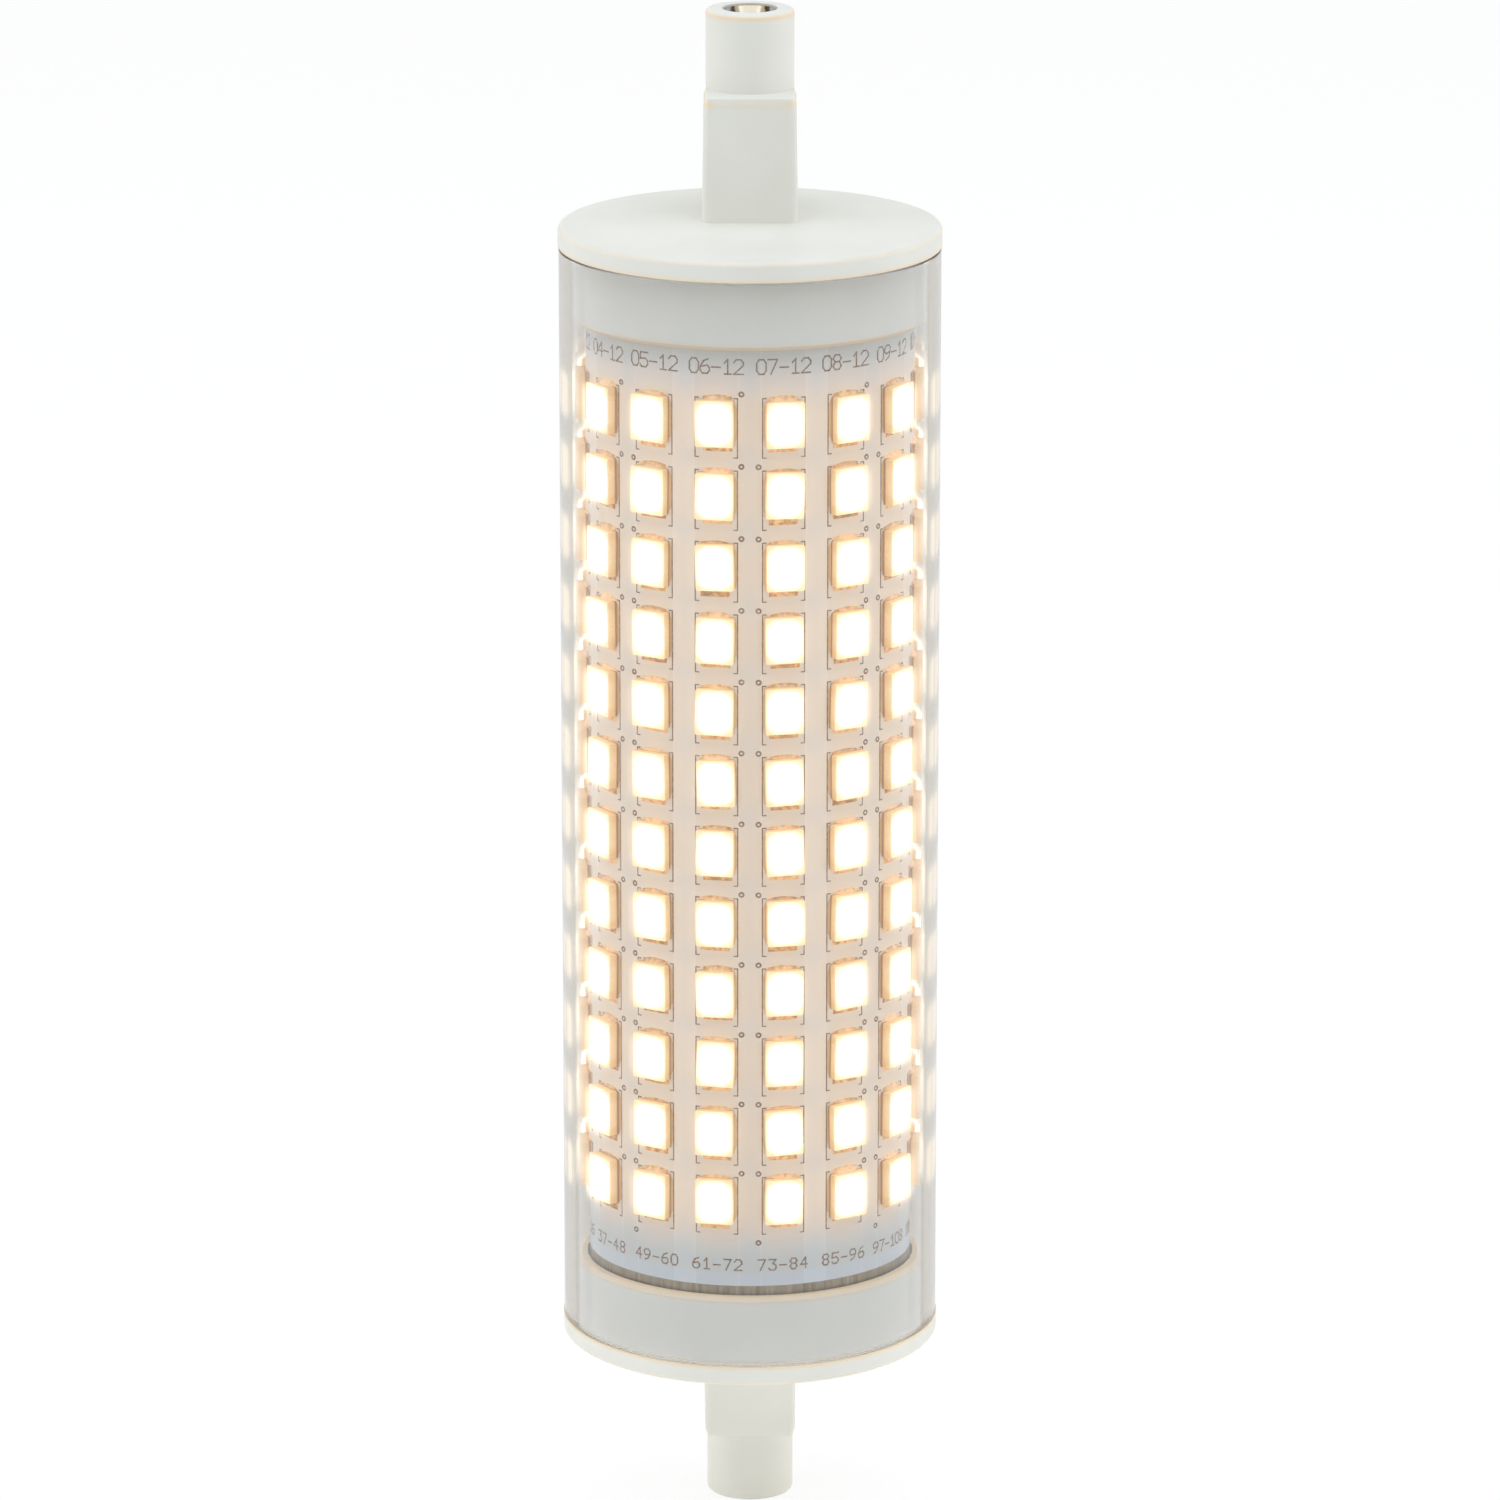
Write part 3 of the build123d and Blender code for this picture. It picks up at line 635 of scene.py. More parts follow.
def circle(x, z, radius, count=12):
    """Points round a circle."""
    turns = [2 * pi * k / count for k in range(count)]
    return [(x + radius * cos(turn), z + radius * sin(turn)) for turn in turns]


def rounded_rectangle(width, length, corner, steps=3):
    """Points round a rectangle with rounded corners, counter-clockwise from the right of the top corner."""
    points = []
    for quarter, (side, end) in enumerate(((1, 1), (-1, 1), (-1, -1), (1, -1))):
        x, z = side * (width / 2 - corner), end * (length / 2 - corner)
        for step in range(steps + 1):
            turn = (quarter + step / steps) * pi / 2
            points.append((x + corner * cos(turn), z + corner * sin(turn)))
    return points


def wrapped(x, z, radius):
    """Point on a cylinder about the lamp's axis, x along the arc from the front and z along the lamp."""
    return Vector((radius * sin(x / radius), -radius * cos(x / radius), z))


def on_seat(x, z, level):
    """Point over an LED's flat seat at the lamp's front, level being its distance from the lamp's axis."""
    return Vector((x, -level, z))


def add_skin(bm, first, second):
    """Faces between two closed loops of as many points."""
    for i in range(len(first)):
        j = (i + 1) % len(first)
        bm.faces.new((first[i], first[j], second[j], second[i]))


def add_prism(bm, outline, low, high, place):
    """Closed solid between two levels of one outline; place(x, z, level) puts each of its points."""
    foot, top = [[bm.verts.new(place(x, z, level)) for x, z in outline] for level in (low, high)]
    bm.faces.new(reversed(foot))
    bm.faces.new(top)
    add_skin(bm, foot, top)


def add_band(bm, outer, inner, low, high, place):
    """Closed solid between two outlines of as many points, such as a printed ring."""
    corners = ((outer, low), (outer, high), (inner, high), (inner, low))
    loops = [[bm.verts.new(place(x, z, level)) for x, z in outline] for outline, level in corners]
    for k in range(4):
        add_skin(bm, loops[k], loops[(k + 1) % 4])


def map_led(bm, sizes, seat):
    """UV maps of an LED: its plan over the whole body, and the rise from its seat to its top."""
    plan, rise = bm.loops.layers.uv.new("plan"), bm.loops.layers.uv.new("rise")
    for face in bm.faces:
        for loop in face.loops:
            point = loop.vert.co
            loop[plan].uv = (point.x / sizes.led_width + 0.5, point.z / sizes.led_length + 0.5)
            loop[rise].uv = ((-point.y - seat) / sizes.led_height, 0.0)


def repeat_tree():
    """Geometry Nodes that set a template round the lamp in columns and along it in rows.

    Each copy may stand a little off its place, and carries a random tone from 0 to 1.
    """
    tree = bpy.data.node_groups.new("Rows and columns round the lamp", "GeometryNodeTree")
    add = partial(add_node, tree)
    for kind, *names in (
        ("Geometry", "Template"),
        ("Int", "Columns", "Rows"),
        ("Float", "First angle", "Angle step", "Top row", "Row pitch", "Shift", "Tilt"),
        ("Int", "Seed"),
        ("Material", "Material"),
    ):
        for name in names:
            tree.interface.new_socket(name, in_out="INPUT", socket_type=f"NodeSocket{kind}")
    tree.interface.new_socket("Pieces", in_out="OUTPUT", socket_type="NodeSocketGeometry")
    given = add("NodeGroupInput").node.outputs
    rows, seed = given["Rows"], given["Seed"]
    count = add("Math MULTIPLY", (given["Columns"], rows))
    points = add("GeometryNodePoints", {"Count": count})
    index = add("GeometryNodeInputIndex")
    column = add("Math DIVIDE", (index, rows))
    column = add("Math FLOOR", (column,))
    row = add("Math FLOORED_MODULO", (index, rows))
    drop = add("Math MULTIPLY", (row, given["Row pitch"]))
    height = add("Math SUBTRACT", (given["Top row"], drop))
    place = add("CombineXYZ", {"Z": height})
    angles = (column, given["Angle step"], given["First angle"])
    turn = add("CombineXYZ", {"Z": add("Math MULTIPLY_ADD", angles)})
    turn = add("FunctionNodeEulerToRotation", (turn,))
    points = add("GeometryNodeSetPosition", {"Geometry": points, "Position": place})
    copies = {"Points": points, "Instance": given["Template"], "Rotation": turn}
    copies = add("GeometryNodeInstanceOnPoints", copies)

    spread = {0: (-1.0, 0.0, -1.0), 1: (1.0, 0.0, 1.0), "Seed": seed}
    stray = add("FunctionNodeRandomValue", spread, data_type="FLOAT_VECTOR")
    stray = add("VectorMath SCALE", {0: stray, "Scale": given["Shift"]})
    copies = {"Instances": copies, "Translation": stray, "Local Space": True}
    copies = add("GeometryNodeTranslateInstances", copies)
    lean = add("FunctionNodeRandomValue", {2: -1.0, 3: 1.0, "Seed": seed}, out=1, data_type="FLOAT")
    lean = add("Math MULTIPLY", (lean, given["Tilt"]))
    lean = add("FunctionNodeEulerToRotation", (add("CombineXYZ", {"Y": lean}),))
    copies = {"Instances": copies, "Rotation": lean, "Local Space": True}
    copies = add("GeometryNodeRotateInstances", copies)
    tone = add("FunctionNodeRandomValue", {2: 0.0, 3: 1.0, "Seed": seed}, out=1, data_type="FLOAT")
    toned = {"Geometry": copies, "Name": "tone", "Value": tone}
    copies = add("GeometryNodeStoreNamedAttribute", toned, data_type="FLOAT", domain="INSTANCE")
    solid = add("GeometryNodeRealizeInstances", (copies,))
    solid = add("GeometryNodeSetMaterial", {"Geometry": solid, "Material": given["Material"]})
    add("NodeGroupOutput", (solid,))
    return tree


class LedGrid:
    """Where the LEDs stand, from the frame, and the pieces that repeat with them."""

    def __init__(self, sizes):
        low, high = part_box(f"{STRINGS[0]}_bodies")
        self.rows = sizes.led_rows
        self.top_row = high.z - sizes.led_length / 2
        self.row_pitch = (high.z - low.z - sizes.led_length) / (sizes.led_rows - 1)
        self.first_angle = string_angle(STRINGS[0])
        self.seat = BOARD_RADIUS + sizes.seat_gap
        self.tree = bpy.data.node_groups.get("Rows and columns round the lamp") or repeat_tree()

    def repeat(self, name, bm, material, every=1, start=0, shift=0.0, tilt=0.0, seed=7):
        """Piece that repeats a template, on every string or on every second one, as a plain mesh."""
        bmesh.ops.recalc_face_normals(bm, faces=bm.faces)
        piece = show(name, smooth_mesh(bm, name))
        modifier = piece.modifiers.new("Repeat", "NODES")
        modifier.node_group = self.tree
        values = {
            "Columns": len(STRINGS) // every,
            "Rows": self.rows,
            "First angle": self.first_angle + start * COLUMN_ANGLE,
            "Angle step": every * COLUMN_ANGLE,
            "Top row": self.top_row,
            "Row pitch": self.row_pitch,
            "Shift": shift,
            "Tilt": tilt,
            "Seed": seed,
            "Material": material,
        }
        for socket in self.tree.interface.items_tree:
            if socket.in_out == "INPUT" and socket.name in values:
                modifier[socket.identifier] = values[socket.name]
        template = piece.data
        graph = bpy.context.evaluated_depsgraph_get()
        piece.data = bpy.data.meshes.new_from_object(piece.evaluated_get(graph))
        piece.modifiers.clear()
        bpy.data.meshes.remove(template)
        return piece


class LAMP_OT_cover_tube(bpy.types.Operator):
    """Clear cover tube, turned from its section"""

    bl_idname = "lamp.cover_tube"
    bl_label = "Cover tube"

    def execute(self, context):
        sizes, colours = context.scene.lamp_sizes, context.scene.lamp_colours
        bore, edge = TUBE_RADIUS - sizes.tube_wall, sizes.tube_edge
        turns, steps = 240, 3
        # A loop just short of each rounded edge keeps the shading of the long walls true, so that they
        # refract as straight glass
        straight = TUBE_END - 2 * edge
        section = []
        for side, end, first in ((TUBE_RADIUS, -1, 3), (TUBE_RADIUS, 1, 0), (bore, 1, 1), (bore, -1, 2)):
            centre = side - edge if side == TUBE_RADIUS else side + edge
            bends = [(first + step / steps) * pi / 2 for step in range(steps + 1)]
            corner = [(centre + edge * cos(b), end * (TUBE_END - edge) + edge * sin(b)) for b in bends]
            leads_out = (side == TUBE_RADIUS) == (end < 0)
            section += [*corner, (side, end * straight)] if leads_out else [(side, end * straight), *corner]
        bm = bmesh.new()
        angles = [2 * pi * k / turns for k in range(turns)]
        loops = [[bm.verts.new((r * sin(a), -r * cos(a), z)) for r, z in section] for a in angles]
        for k in range(turns):
            add_skin(bm, loops[k], loops[(k + 1) % turns])
        bmesh.ops.recalc_face_normals(bm, faces=bm.faces)
        mesh = smooth_mesh(bm, "clear_cover_tube", radians(50))
        tube = show("clear_cover_tube", mesh, clear_polycarbonate(colours, sizes, LedGrid(sizes)))
        settle(tube, "clear_polycarbonate", "cover_tube")
        return {"FINISHED"}


class LAMP_OT_end_caps(bpy.types.Operator):
    """Moulded end caps with their stems and noses"""

    bl_idname = "lamp.end_caps"
    bl_label = "End caps"

    def execute(self, context):
        plastic = ivory_cap_plastic(context.scene.lamp_colours)
        for end in ("upper", "lower"):
            settle(smooth_copy(f"{end}_cap", f"{end}_end_cap", plastic), "cap_plastic", f"{end}_cap")
        return {"FINISHED"}


class LAMP_OT_contacts(bpy.types.Operator):
    """Dished contacts in the ends of the noses"""

    bl_idname = "lamp.contacts"
    bl_label = "End contacts"

    def execute(self, context):
        nickel = plated_contact(context.scene.lamp_colours)
        for end in ("upper", "lower"):
            contact = smooth_copy(f"{end}_contact", f"{end}_end_contact", nickel)
            settle(contact, "contact_nickel", f"{end}_contact")
        return {"FINISHED"}


class LAMP_OT_led_board(bpy.types.Operator):
    """Rolled LED board with its solder mask"""

    bl_idname = "lamp.led_board"
    bl_label = "LED board"

    def execute(self, context):
        sizes, colours = context.scene.lamp_sizes, context.scene.lamp_colours
        finish = masked_aluminium(colours, sizes, LedGrid(sizes))
        settle(smooth_copy("led_board", "rolled_led_board", finish), "white_solder_mask", "led_board")
        return {"FINISHED"}


class LAMP_OT_led_packages(bpy.types.Operator):
    """LED bodies, their lit windows and the solder at their ends"""

    bl_idname = "lamp.led_packages"
    bl_label = "LED packages"

    def execute(self, context):
        sizes, colours = context.scene.lamp_sizes, context.scene.lamp_colours
        grid = LedGrid(sizes)
        top = grid.seat + sizes.led_height
        floor = top - sizes.window_depth
        stray = {"shift": 0.08 * MM, "tilt": radians(1.5)}

        bm = bmesh.new()
        body = rounded_rectangle(sizes.led_width, sizes.led_length, sizes.led_corner)
        window = rounded_rectangle(sizes.window_width, sizes.window_length, sizes.window_corner)
        levels = ((body, grid.seat), (body, top), (window, top), (window, floor))
        loops = [[bm.verts.new(on_seat(x, z, level)) for x, z in outline] for outline, level in levels]
        for low, high in zip(loops, loops[1:]):
            add_skin(bm, low, high)
        bm.faces.new(loops[0])
        bm.faces.new(loops[-1])
        map_led(bm, sizes, grid.seat)
        bodies = grid.repeat("led_bodies", bm, lit_led_body(colours, sizes), **stray)
        settle(bodies, "led_body_plastic", *(f"{string}_bodies" for string in STRINGS))

        bm = bmesh.new()
        slack = 0.01 * MM
        width, length = sizes.window_width - slack, sizes.window_length - slack
        filling = rounded_rectangle(width, length, sizes.window_corner)
        add_prism(bm, filling, floor + slack, top - slack, on_seat)
        map_led(bm, sizes, grid.seat)
        windows = grid.repeat("led_windows", bm, lit_phosphor(colours, sizes), **stray)
        settle(windows, "led_phosphor", *(f"{string}_phosphor" for string in STRINGS))

        bm = bmesh.new()
        for end in (1, -1):
            self.add_fillet(bm, sizes, end)
        stray = {"shift": 0.1 * MM, "tilt": radians(0.5), "seed": 11}
        settle(grid.repeat("led_solder", bm, reflowed_solder(colours), **stray), "white_solder_mask")
        return {"FINISHED"}

    def add_fillet(self, bm, sizes, end):
        """Closed solid of solder at one end of an LED: a hollow slope up its wall, flat at the low end."""
        across, out, under, sunk = 6, 2, 0.15 * MM, 0.02 * MM
        sheet = []
        for i in range(across + 1):
            share = 2 * i / across - 1
            reach = sizes.fillet_reach * (1 - share**2 / 2) if end > 0 else sizes.pad_reach
            row = []
            for k in range(out + 1):
                step = k / out
                rise = sizes.fillet_height * (1 - share**8) * (1 - step) ** 2
                z = end * (sizes.led_length / 2 - under + step * (under + reach))
                x = share * sizes.fillet_width / 2
                row.append(bm.verts.new(wrapped(x, z, BOARD_RADIUS + sizes.ink + rise)))
            sheet.append(row)
        for here, beside in zip(sheet, sheet[1:]):
            for k in range(out):
                bm.faces.new((here[k], beside[k], beside[k + 1], here[k + 1]))
        rim = [row[0] for row in sheet] + sheet[-1][1:]
        rim += [row[-1] for row in sheet[-2::-1]] + sheet[0][-2:0:-1]
        arcs = [(atan2(v.co.x, -v.co.y) * BOARD_RADIUS, v.co.z) for v in rim]
        foot = [bm.verts.new(wrapped(x, z, BOARD_RADIUS - sunk)) for x, z in arcs]
        add_skin(bm, rim, foot)
        bm.faces.new(foot)


# Strokes of a legend's figures, on a cell one wide and one high
STROKES = {
    "0": [
        [(0.25, 0), (0.75, 0), (1, 0.25), (1, 0.75), (0.75, 1)],
        [(0.75, 1), (0.25, 1), (0, 0.75), (0, 0.25), (0.25, 0)],
    ],
    "1": [[(0.2, 0.75), (0.55, 1), (0.55, 0)], [(0.2, 0), (0.9, 0)]],
    "2": [[(0, 0.8), (0.25, 1), (0.75, 1), (1, 0.8), (1, 0.6), (0, 0), (1, 0)]],
    "3": [[(0, 1), (1, 1), (0.5, 0.6), (0.8, 0.55), (1, 0.4), (1, 0.2), (0.75, 0), (0.2, 0), (0, 0.15)]],
    "4": [[(0.75, 0), (0.75, 1), (0, 0.35), (1, 0.35)]],
    "5": [[(1, 1), (0.05, 1), (0, 0.55), (0.7, 0.6), (1, 0.4), (1, 0.2), (0.75, 0), (0.2, 0), (0, 0.15)]],
    "6": [
        [(0.85, 1), (0.35, 0.85), (0, 0.45), (0, 0.2), (0.25, 0)],
        [(0.25, 0), (0.75, 0), (1, 0.2), (1, 0.4), (0.75, 0.57), (0, 0.45)],
    ],
    "7": [[(0, 1), (1, 1), (0.3, 0)]],
    "8": [
        [(0.25, 0.53), (0, 0.75), (0.25, 1), (0.75, 1), (1, 0.75), (0.75, 0.53)],
        [(0.75, 0.53), (0.25, 0.53), (0, 0.25), (0.25, 0), (0.75, 0)],
        [(0.75, 0), (1, 0.25), (0.75, 0.53)],
    ],
    "9": [
        [(0.15, 0), (0.65, 0.15), (1, 0.55), (1, 0.8), (0.75, 1)],
        [(0.75, 1), (0.25, 1), (0, 0.8), (0, 0.6), (0.25, 0.43), (1, 0.55)],
    ],
    "-": [[(0.05, 0.45), (0.95, 0.45)]],
}


class LAMP_OT_board_print(bpy.types.Operator):
    """Brackets, rings and plain numbers printed on the board"""

    bl_idname = "lamp.board_print"
    bl_label = "Board print"

    def execute(self, context):
        sizes, colours = context.scene.lamp_sizes, context.scene.lamp_colours
        grid, ink = LedGrid(sizes), legend_ink(colours)
        levels = (BOARD_RADIUS - sizes.ink / 2, BOARD_RADIUS + sizes.ink)

        bm = bmesh.new()
        half, line, drop = sizes.bracket_length / 2, sizes.line, sizes.bracket_drop
        for side in (1, -1):
            out, bar = (side * (sizes.bracket_side + step) for step in (line / 2, -line / 2))
            tip = side * (sizes.bracket_side - sizes.bracket_tick)
            outline = [(out, -half), (out, half), (tip, half), (tip, half - line)]
            outline += [(bar, half - line), (bar, line - half), (tip, line - half), (tip, -half)]
            add_prism(bm, [(x, z - drop) for x, z in outline], *levels, wrapped)
        settle(grid.repeat("printed_brackets", bm, ink), "white_solder_mask")

        for name, start, x, z in (
            ("printed_rings_over_leds", 1, sizes.ring_side, sizes.ring_rise),
            ("printed_rings_under_leds", 0, -sizes.ring_side, -sizes.ring_drop),
        ):
            bm = bmesh.new()
            inner = sizes.ring_radius - sizes.ring_line
            add_band(bm, circle(x, z, sizes.ring_radius), circle(x, z, inner), *levels, wrapped)
            settle(grid.repeat(name, bm, ink, every=2, start=start), "white_solder_mask")

        bm = bmesh.new()
        room, wide, narrow = 4.3 * MM, 0.95, 0.75
        for number, string in enumerate(STRINGS, 1):
            middle, last = string_angle(string) * BOARD_RADIUS, grid.rows * number
            span = f"{last - grid.rows + 1}-{last}"
            pitch = min(wide, room / len(span) / sizes.figure_height)
            for text, foot, height, step in (
                (span, FIGURES_FOOT, sizes.figure_height, pitch),
                (f"{number:02d}-{grid.rows}", TITLES_FOOT, sizes.title_height, narrow),
            ):
                for outline in self.bars(text, middle, foot, height, step * height, 0.65 * line):
                    add_prism(bm, outline, *levels, wrapped)
        bmesh.ops.recalc_face_normals(bm, faces=bm.faces)
        settle(show("printed_numbers", smooth_mesh(bm, "printed_numbers"), ink), "white_solder_mask")
        return {"FINISHED"}

    def bars(self, text, middle, foot, height, advance, half):
        """Outlines of the bars that draw a line of figures, each half of a stroke's width to either side."""
        width = 0.62 * height
        left = middle - (advance * (len(text) - 1) + width) / 2
        for count, figure in enumerate(text):
            for stroke in STROKES[figure]:
                points = [Vector((left + count * advance + x * width, foot + z * height)) for x, z in stroke]
                for a, b in zip(points, points[1:]):
                    along = (b - a).normalized() * half
                    aside = Vector((-along.y, along.x))
                    corners = (a - along + aside, a - along - aside, b + along - aside, b + along + aside)
                    yield [tuple(corner) for corner in corners]


class LAMP_OT_wires(bpy.types.Operator):
    """Feed wires through the board's seam, soldered to the pads beside it, and the lead wires"""

    bl_idname = "lamp.wires"
    bl_label = "Wires"

    def execute(self, context):
        sizes = context.scene.lamp_sizes
        tin = plated_metal("Hand-laid solder", "#B9B6B0", 0.3, 0.4)
        bend_start, bend_end = 1.4 * MM, 1.1 * MM
        for pole, side, shade, slot in (
            ("positive", 1, "#A81E18", "red_wire"),
            ("negative", -1, "#1B1B1D", "black_wire"),
        ):
            name = f"{pole}_feed_wire"
            low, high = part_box(name)
            level, z = high.y - sizes.wire_radius, (low.z + high.z) / 2
            reach = high.x if side > 0 else low.x
            finish = moulded_plastic(f"Extruded silicone sleeve, {pole}", shade, 0.35, 0.2)
            route = [(0, low.y), (0, level - bend_start), (0, level)]
            route += [(side * bend_end, level), (reach, level)]
            bm = self.drawn(name, route, z, sizes.wire_radius)
            settle(show(f"{pole}_feed", smooth_mesh(bm, name), finish), slot, name)
            bm = self.blob(atan2(reach, level) * BOARD_RADIUS, z, sizes.blob_radius, 0.9 * sizes.wire_radius)
            settle(show(f"{pole}_feed_solder", smooth_mesh(bm, name, radians(60)), tin), "white_solder_mask")
        sleeve = moulded_plastic("Extruded white wire sleeve", "#E4E3DF", 0.4, 0.2)
        for name in ("upper_lead_wire", "lower_lead_wire"):
            settle(smooth_copy(name, f"{name}_insulated", sleeve), "white_wire", name)
        return {"FINISHED"}

    def drawn(self, name, route, z, radius):
        """Round wire along a smooth line, at one height, that its route's points guide."""
        curve = bpy.data.curves.new(name, "CURVE")
        curve.dimensions = "3D"
        curve.bevel_depth, curve.bevel_resolution, curve.resolution_u = radius, 3, 12
        curve.use_fill_caps = True
        spline = curve.splines.new("NURBS")
        spline.points.add(len(route) - 1)
        for point, (x, y) in zip(spline.points, route):
            point.co = (x, y, z, 1.0)
        spline.order_u, spline.use_endpoint_u = 3, True
        line = show(f"{name}_curve", curve)
        graph = bpy.context.evaluated_depsgraph_get()
        bm = bmesh.new()
        bm.from_mesh(bpy.data.meshes.new_from_object(line.evaluated_get(graph)))
        bpy.data.objects.remove(line)
        bmesh.ops.remove_doubles(bm, verts=bm.verts, dist=MERGE)
        bmesh.ops.recalc_face_normals(bm, faces=bm.faces)
        return bm

    def blob(self, x, z, radius, height):
        """Low dome of solder on the back of the board, x along the arc from the seam's middle."""
        spread, turns = 5, 14
        bm = bmesh.new()
        loops = []
        for k in range(spread):
            climb = k / spread * pi / 2
            level = BOARD_RADIUS + height * sin(climb)
            ring = circle(x, z, radius * cos(climb), turns)
            places = [(level * sin(u / BOARD_RADIUS), level * cos(u / BOARD_RADIUS), v) for u, v in ring]
            loops.append([bm.verts.new(place) for place in places])
        for a, b in zip(loops, loops[1:]):
            add_skin(bm, a, b)
        bm.faces.new(loops[0])
        bm.faces.new(loops[-1])
        bmesh.ops.recalc_face_normals(bm, faces=bm.faces)
        return bm


class LAMP_OT_driver(bpy.types.Operator):
    """Finishes of the liner and of the driver inside it, which keep their CAD shapes"""

    bl_idname = "lamp.driver"
    bl_label = "Driver"

    def execute(self, context):
        epoxy = moulded_plastic("Moulded black epoxy", "#1E1E20", 0.55, 0.25)
        ferrite = moulded_plastic("Sintered ferrite", "#2B2A2B", 0.7, 0.35, 0.012)
        sleeve = moulded_plastic("Shrunk sleeve of a capacitor", "#20222A", 0.3, 0.4)
        finishes = {
            "insulating_liner": moulded_plastic("Rolled polyester film", "#E9E8E2", 0.4, 0.5, 0.002),
            "driver_board": moulded_plastic("Green glass laminate", "#2C5B3A", 0.4, 0.4, 0.006, 0.2),
            "fusible_resistor": moulded_plastic("Lacquered resistor", "#5D7A74", 0.5, 0.3, 0.01),
            "varistor": moulded_plastic("Dipped blue epoxy", "#2A4C86", 0.35, 0.6, 0.01),
            "bridge_rectifier": epoxy,
            "film_capacitor": moulded_plastic("Potted yellow case", "#D2B03C", 0.4, 0.3),
            "choke_core": ferrite,
            "choke_winding": plated_metal("Enamelled copper winding", "#A8602F", 0.3, 0.25),
            "bulk_capacitor": sleeve,
            "output_capacitor": sleeve,
            "transformer_core": ferrite,
            "transformer_coil": moulded_plastic("Polyester winding tape", "#D9BE4A", 0.3, 0.5, 0.003),
            "switching_transistor": epoxy,
            "control_chip": epoxy,
            "output_diode": epoxy,
            "chip_resistors": moulded_plastic("Glazed chip resistors", "#26262A", 0.3, 0.2),
        }
        for node, finish in finishes.items():
            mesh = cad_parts[node].data
            mesh.materials.clear()
            mesh.materials.append(finish)
        return {"FINISHED"}


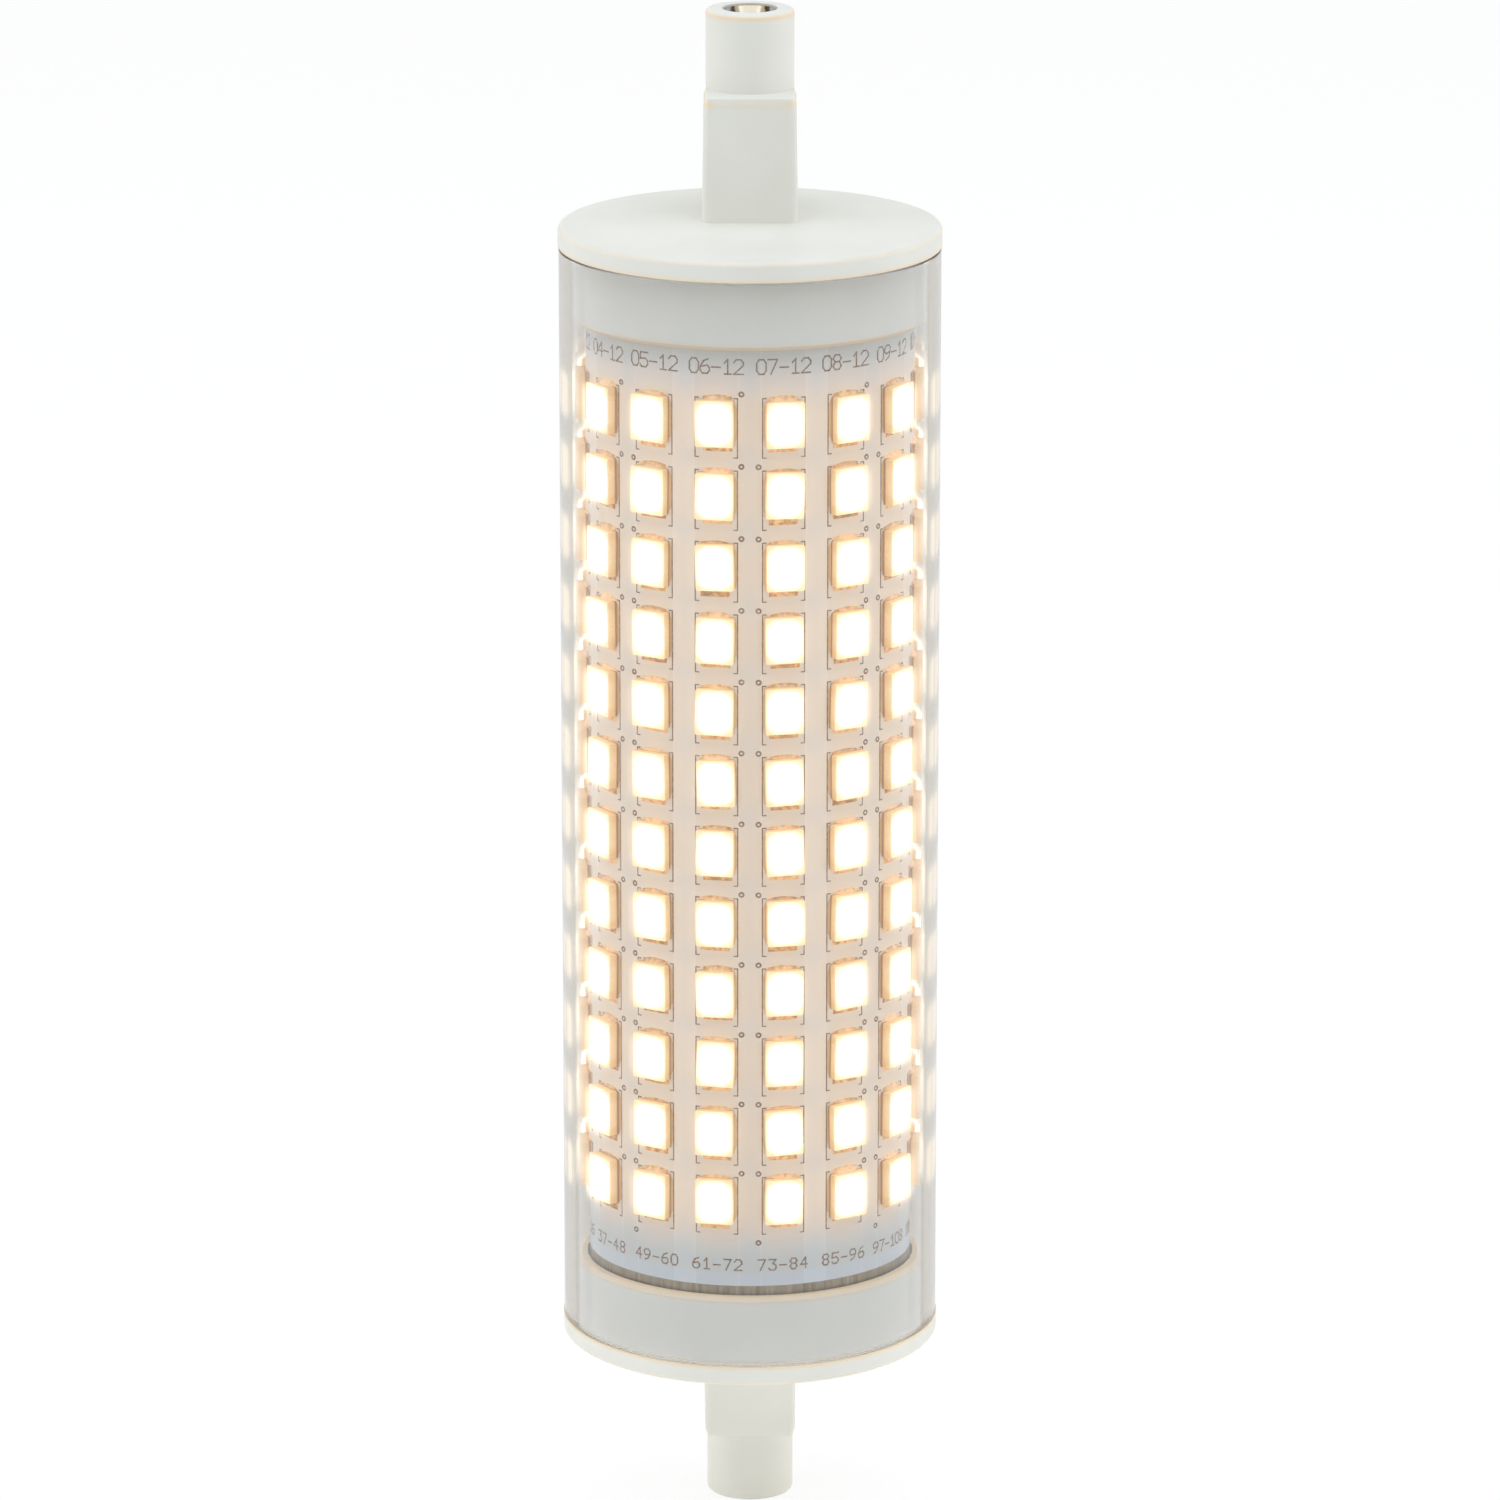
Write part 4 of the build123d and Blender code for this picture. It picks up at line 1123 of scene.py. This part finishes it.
class LAMP_OT_stage(bpy.types.Operator):
    """Pale floor and backdrop, soft studio lamps, and the camera at the photograph's angle"""

    bl_idname = "lamp.stage"
    bl_label = "Stage"

    def execute(self, context):
        scene = context.scene
        scene.view_settings.view_transform = "Standard"
        self.add_floor(scene.lamp_colours)
        self.add_world(scene)
        middle, over_floor, up = (0.0, 0.0, 0.0), (0.0, 0.0, 0.1 * MM - NOSE_END), (0.0, 0.0, 1.0)
        self.add_lamp("top_softbox", (0.0, -0.2, 0.9), middle, extent=(1.6, 1.4), power=11.5, code="#EDF5FF")
        self.add_lamp("foot_panel", over_floor, up, (0.12, 0.12), power=0.012, code="#FFFDF8", hidden=True)

        camera = bpy.data.objects.new("camera", bpy.data.cameras.new("camera"))
        camera.data.lens, camera.data.sensor_width = 201.85, 36.0
        camera.data.clip_start, camera.data.clip_end = 0.01, 20.0
        camera.location = (0.0, -0.6195, 0.1710)
        camera.rotation_euler = (radians(74.80), 0.0, 0.0)
        scene.collection.objects.link(camera)
        scene.camera = camera
        return {"FINISHED"}

    def add_floor(self, colours):
        """Floor that sweeps up into a backdrop behind the lamp."""
        level, front, back, bend, top, side = -NOSE_END, -3.0, 2.2, 0.6, 2.4, 3.0
        steps = 8
        turns = [step / steps * pi / 2 for step in range(1, steps + 1)]
        line = [(front, level), (back - bend, level)]
        line += [(back - bend + bend * sin(turn), level + bend * (1 - cos(turn))) for turn in turns]
        line += [(back, top)]
        bm = bmesh.new()
        rows = [[bm.verts.new((x, y, z)) for x in (-side, side)] for y, z in line]
        for a, b in zip(rows, rows[1:]):
            bm.faces.new((a[0], a[1], b[1], b[0]))
        card = pale_stage("Matt pale card", colours.floor, 0.8)
        floor = show("floor", smooth_mesh(bm, "floor", radians(80)), card)

    def add_world(self, scene):
        """Soft light from all round, brighter from the sides and dimmer from above, where the softbox is."""
        world = bpy.data.worlds.new("Studio")
        world.use_nodes = True
        world.node_tree.nodes.clear()
        add = partial(add_node, world.node_tree)
        way = add("TexCoord", out="Generated")
        x, _, z = add("SeparateXYZ", (way,)).node.outputs
        aside = add("Math ABSOLUTE", (x,))
        strength, above = [
            add("MapRange", steps, interpolation_type="SMOOTHSTEP")
            for steps in ((aside, 0.35, 0.77, 0.12, 1.7), (z, 0.05, 0.5, 1.35, 0.42))
        ]
        strength = add("Math MULTIPLY", (strength, above))
        light = add("Background", ((1.0, 0.985, 0.955, 1.0), strength))
        add("OutputWorld", (light,))
        scene.world = world

    def add_lamp(self, name, place, target, extent, power, code, hidden=False):
        """Soft rectangular lamp that faces a target; a hidden one is never seen, not even mirrored."""
        light = bpy.data.lights.new(name, "AREA")
        light.shape, light.size, light.size_y, light.energy = "RECTANGLE", *extent, power
        light.color = linear(code)
        lamp = bpy.data.objects.new(name, light)
        lamp.location = place
        lamp.rotation_euler = (Vector(place) - Vector(target)).to_track_quat("Z", "Y").to_euler()
        lamp.visible_camera = lamp.visible_glossy = lamp.visible_transmission = not hidden
        bpy.context.scene.collection.objects.link(lamp)


OPERATORS = (
    LAMP_OT_stage,
    LAMP_OT_cover_tube,
    LAMP_OT_end_caps,
    LAMP_OT_contacts,
    LAMP_OT_led_board,
    LAMP_OT_led_packages,
    LAMP_OT_board_print,
    LAMP_OT_wires,
    LAMP_OT_driver,
)


class LAMP_PT_sidebar(bpy.types.Panel):
    """Buttons that build the lamp, and the sizes and colours they use"""

    bl_idname = "LAMP_PT_sidebar"
    bl_label = "Linear LED lamp"
    bl_space_type = "VIEW_3D"
    bl_region_type = "UI"
    bl_category = "Lamp"

    def draw(self, context):
        for operator in OPERATORS:
            self.layout.operator(operator.bl_idname)
        for group in (context.scene.lamp_sizes, context.scene.lamp_colours):
            box = self.layout.box()
            for name in group.__annotations__:
                box.prop(group, name)


CLASSES = (LampSizes, LampColours, *OPERATORS, LAMP_PT_sidebar)


def register():
    for cls in CLASSES:
        bpy.utils.register_class(cls)
    bpy.types.Scene.lamp_sizes = PointerProperty(type=LampSizes)
    bpy.types.Scene.lamp_colours = PointerProperty(type=LampColours)


def unregister():
    del bpy.types.Scene.lamp_colours
    del bpy.types.Scene.lamp_sizes
    for cls in reversed(CLASSES):
        bpy.utils.unregister_class(cls)


def main():
    """Build every piece."""
    register()
    bpy.ops.lamp.stage()
    bpy.ops.lamp.cover_tube()
    bpy.ops.lamp.end_caps()
    bpy.ops.lamp.contacts()
    bpy.ops.lamp.led_board()
    bpy.ops.lamp.led_packages()
    bpy.ops.lamp.board_print()
    bpy.ops.lamp.wires()
    bpy.ops.lamp.driver()


if __name__ == "__main__":
    main()
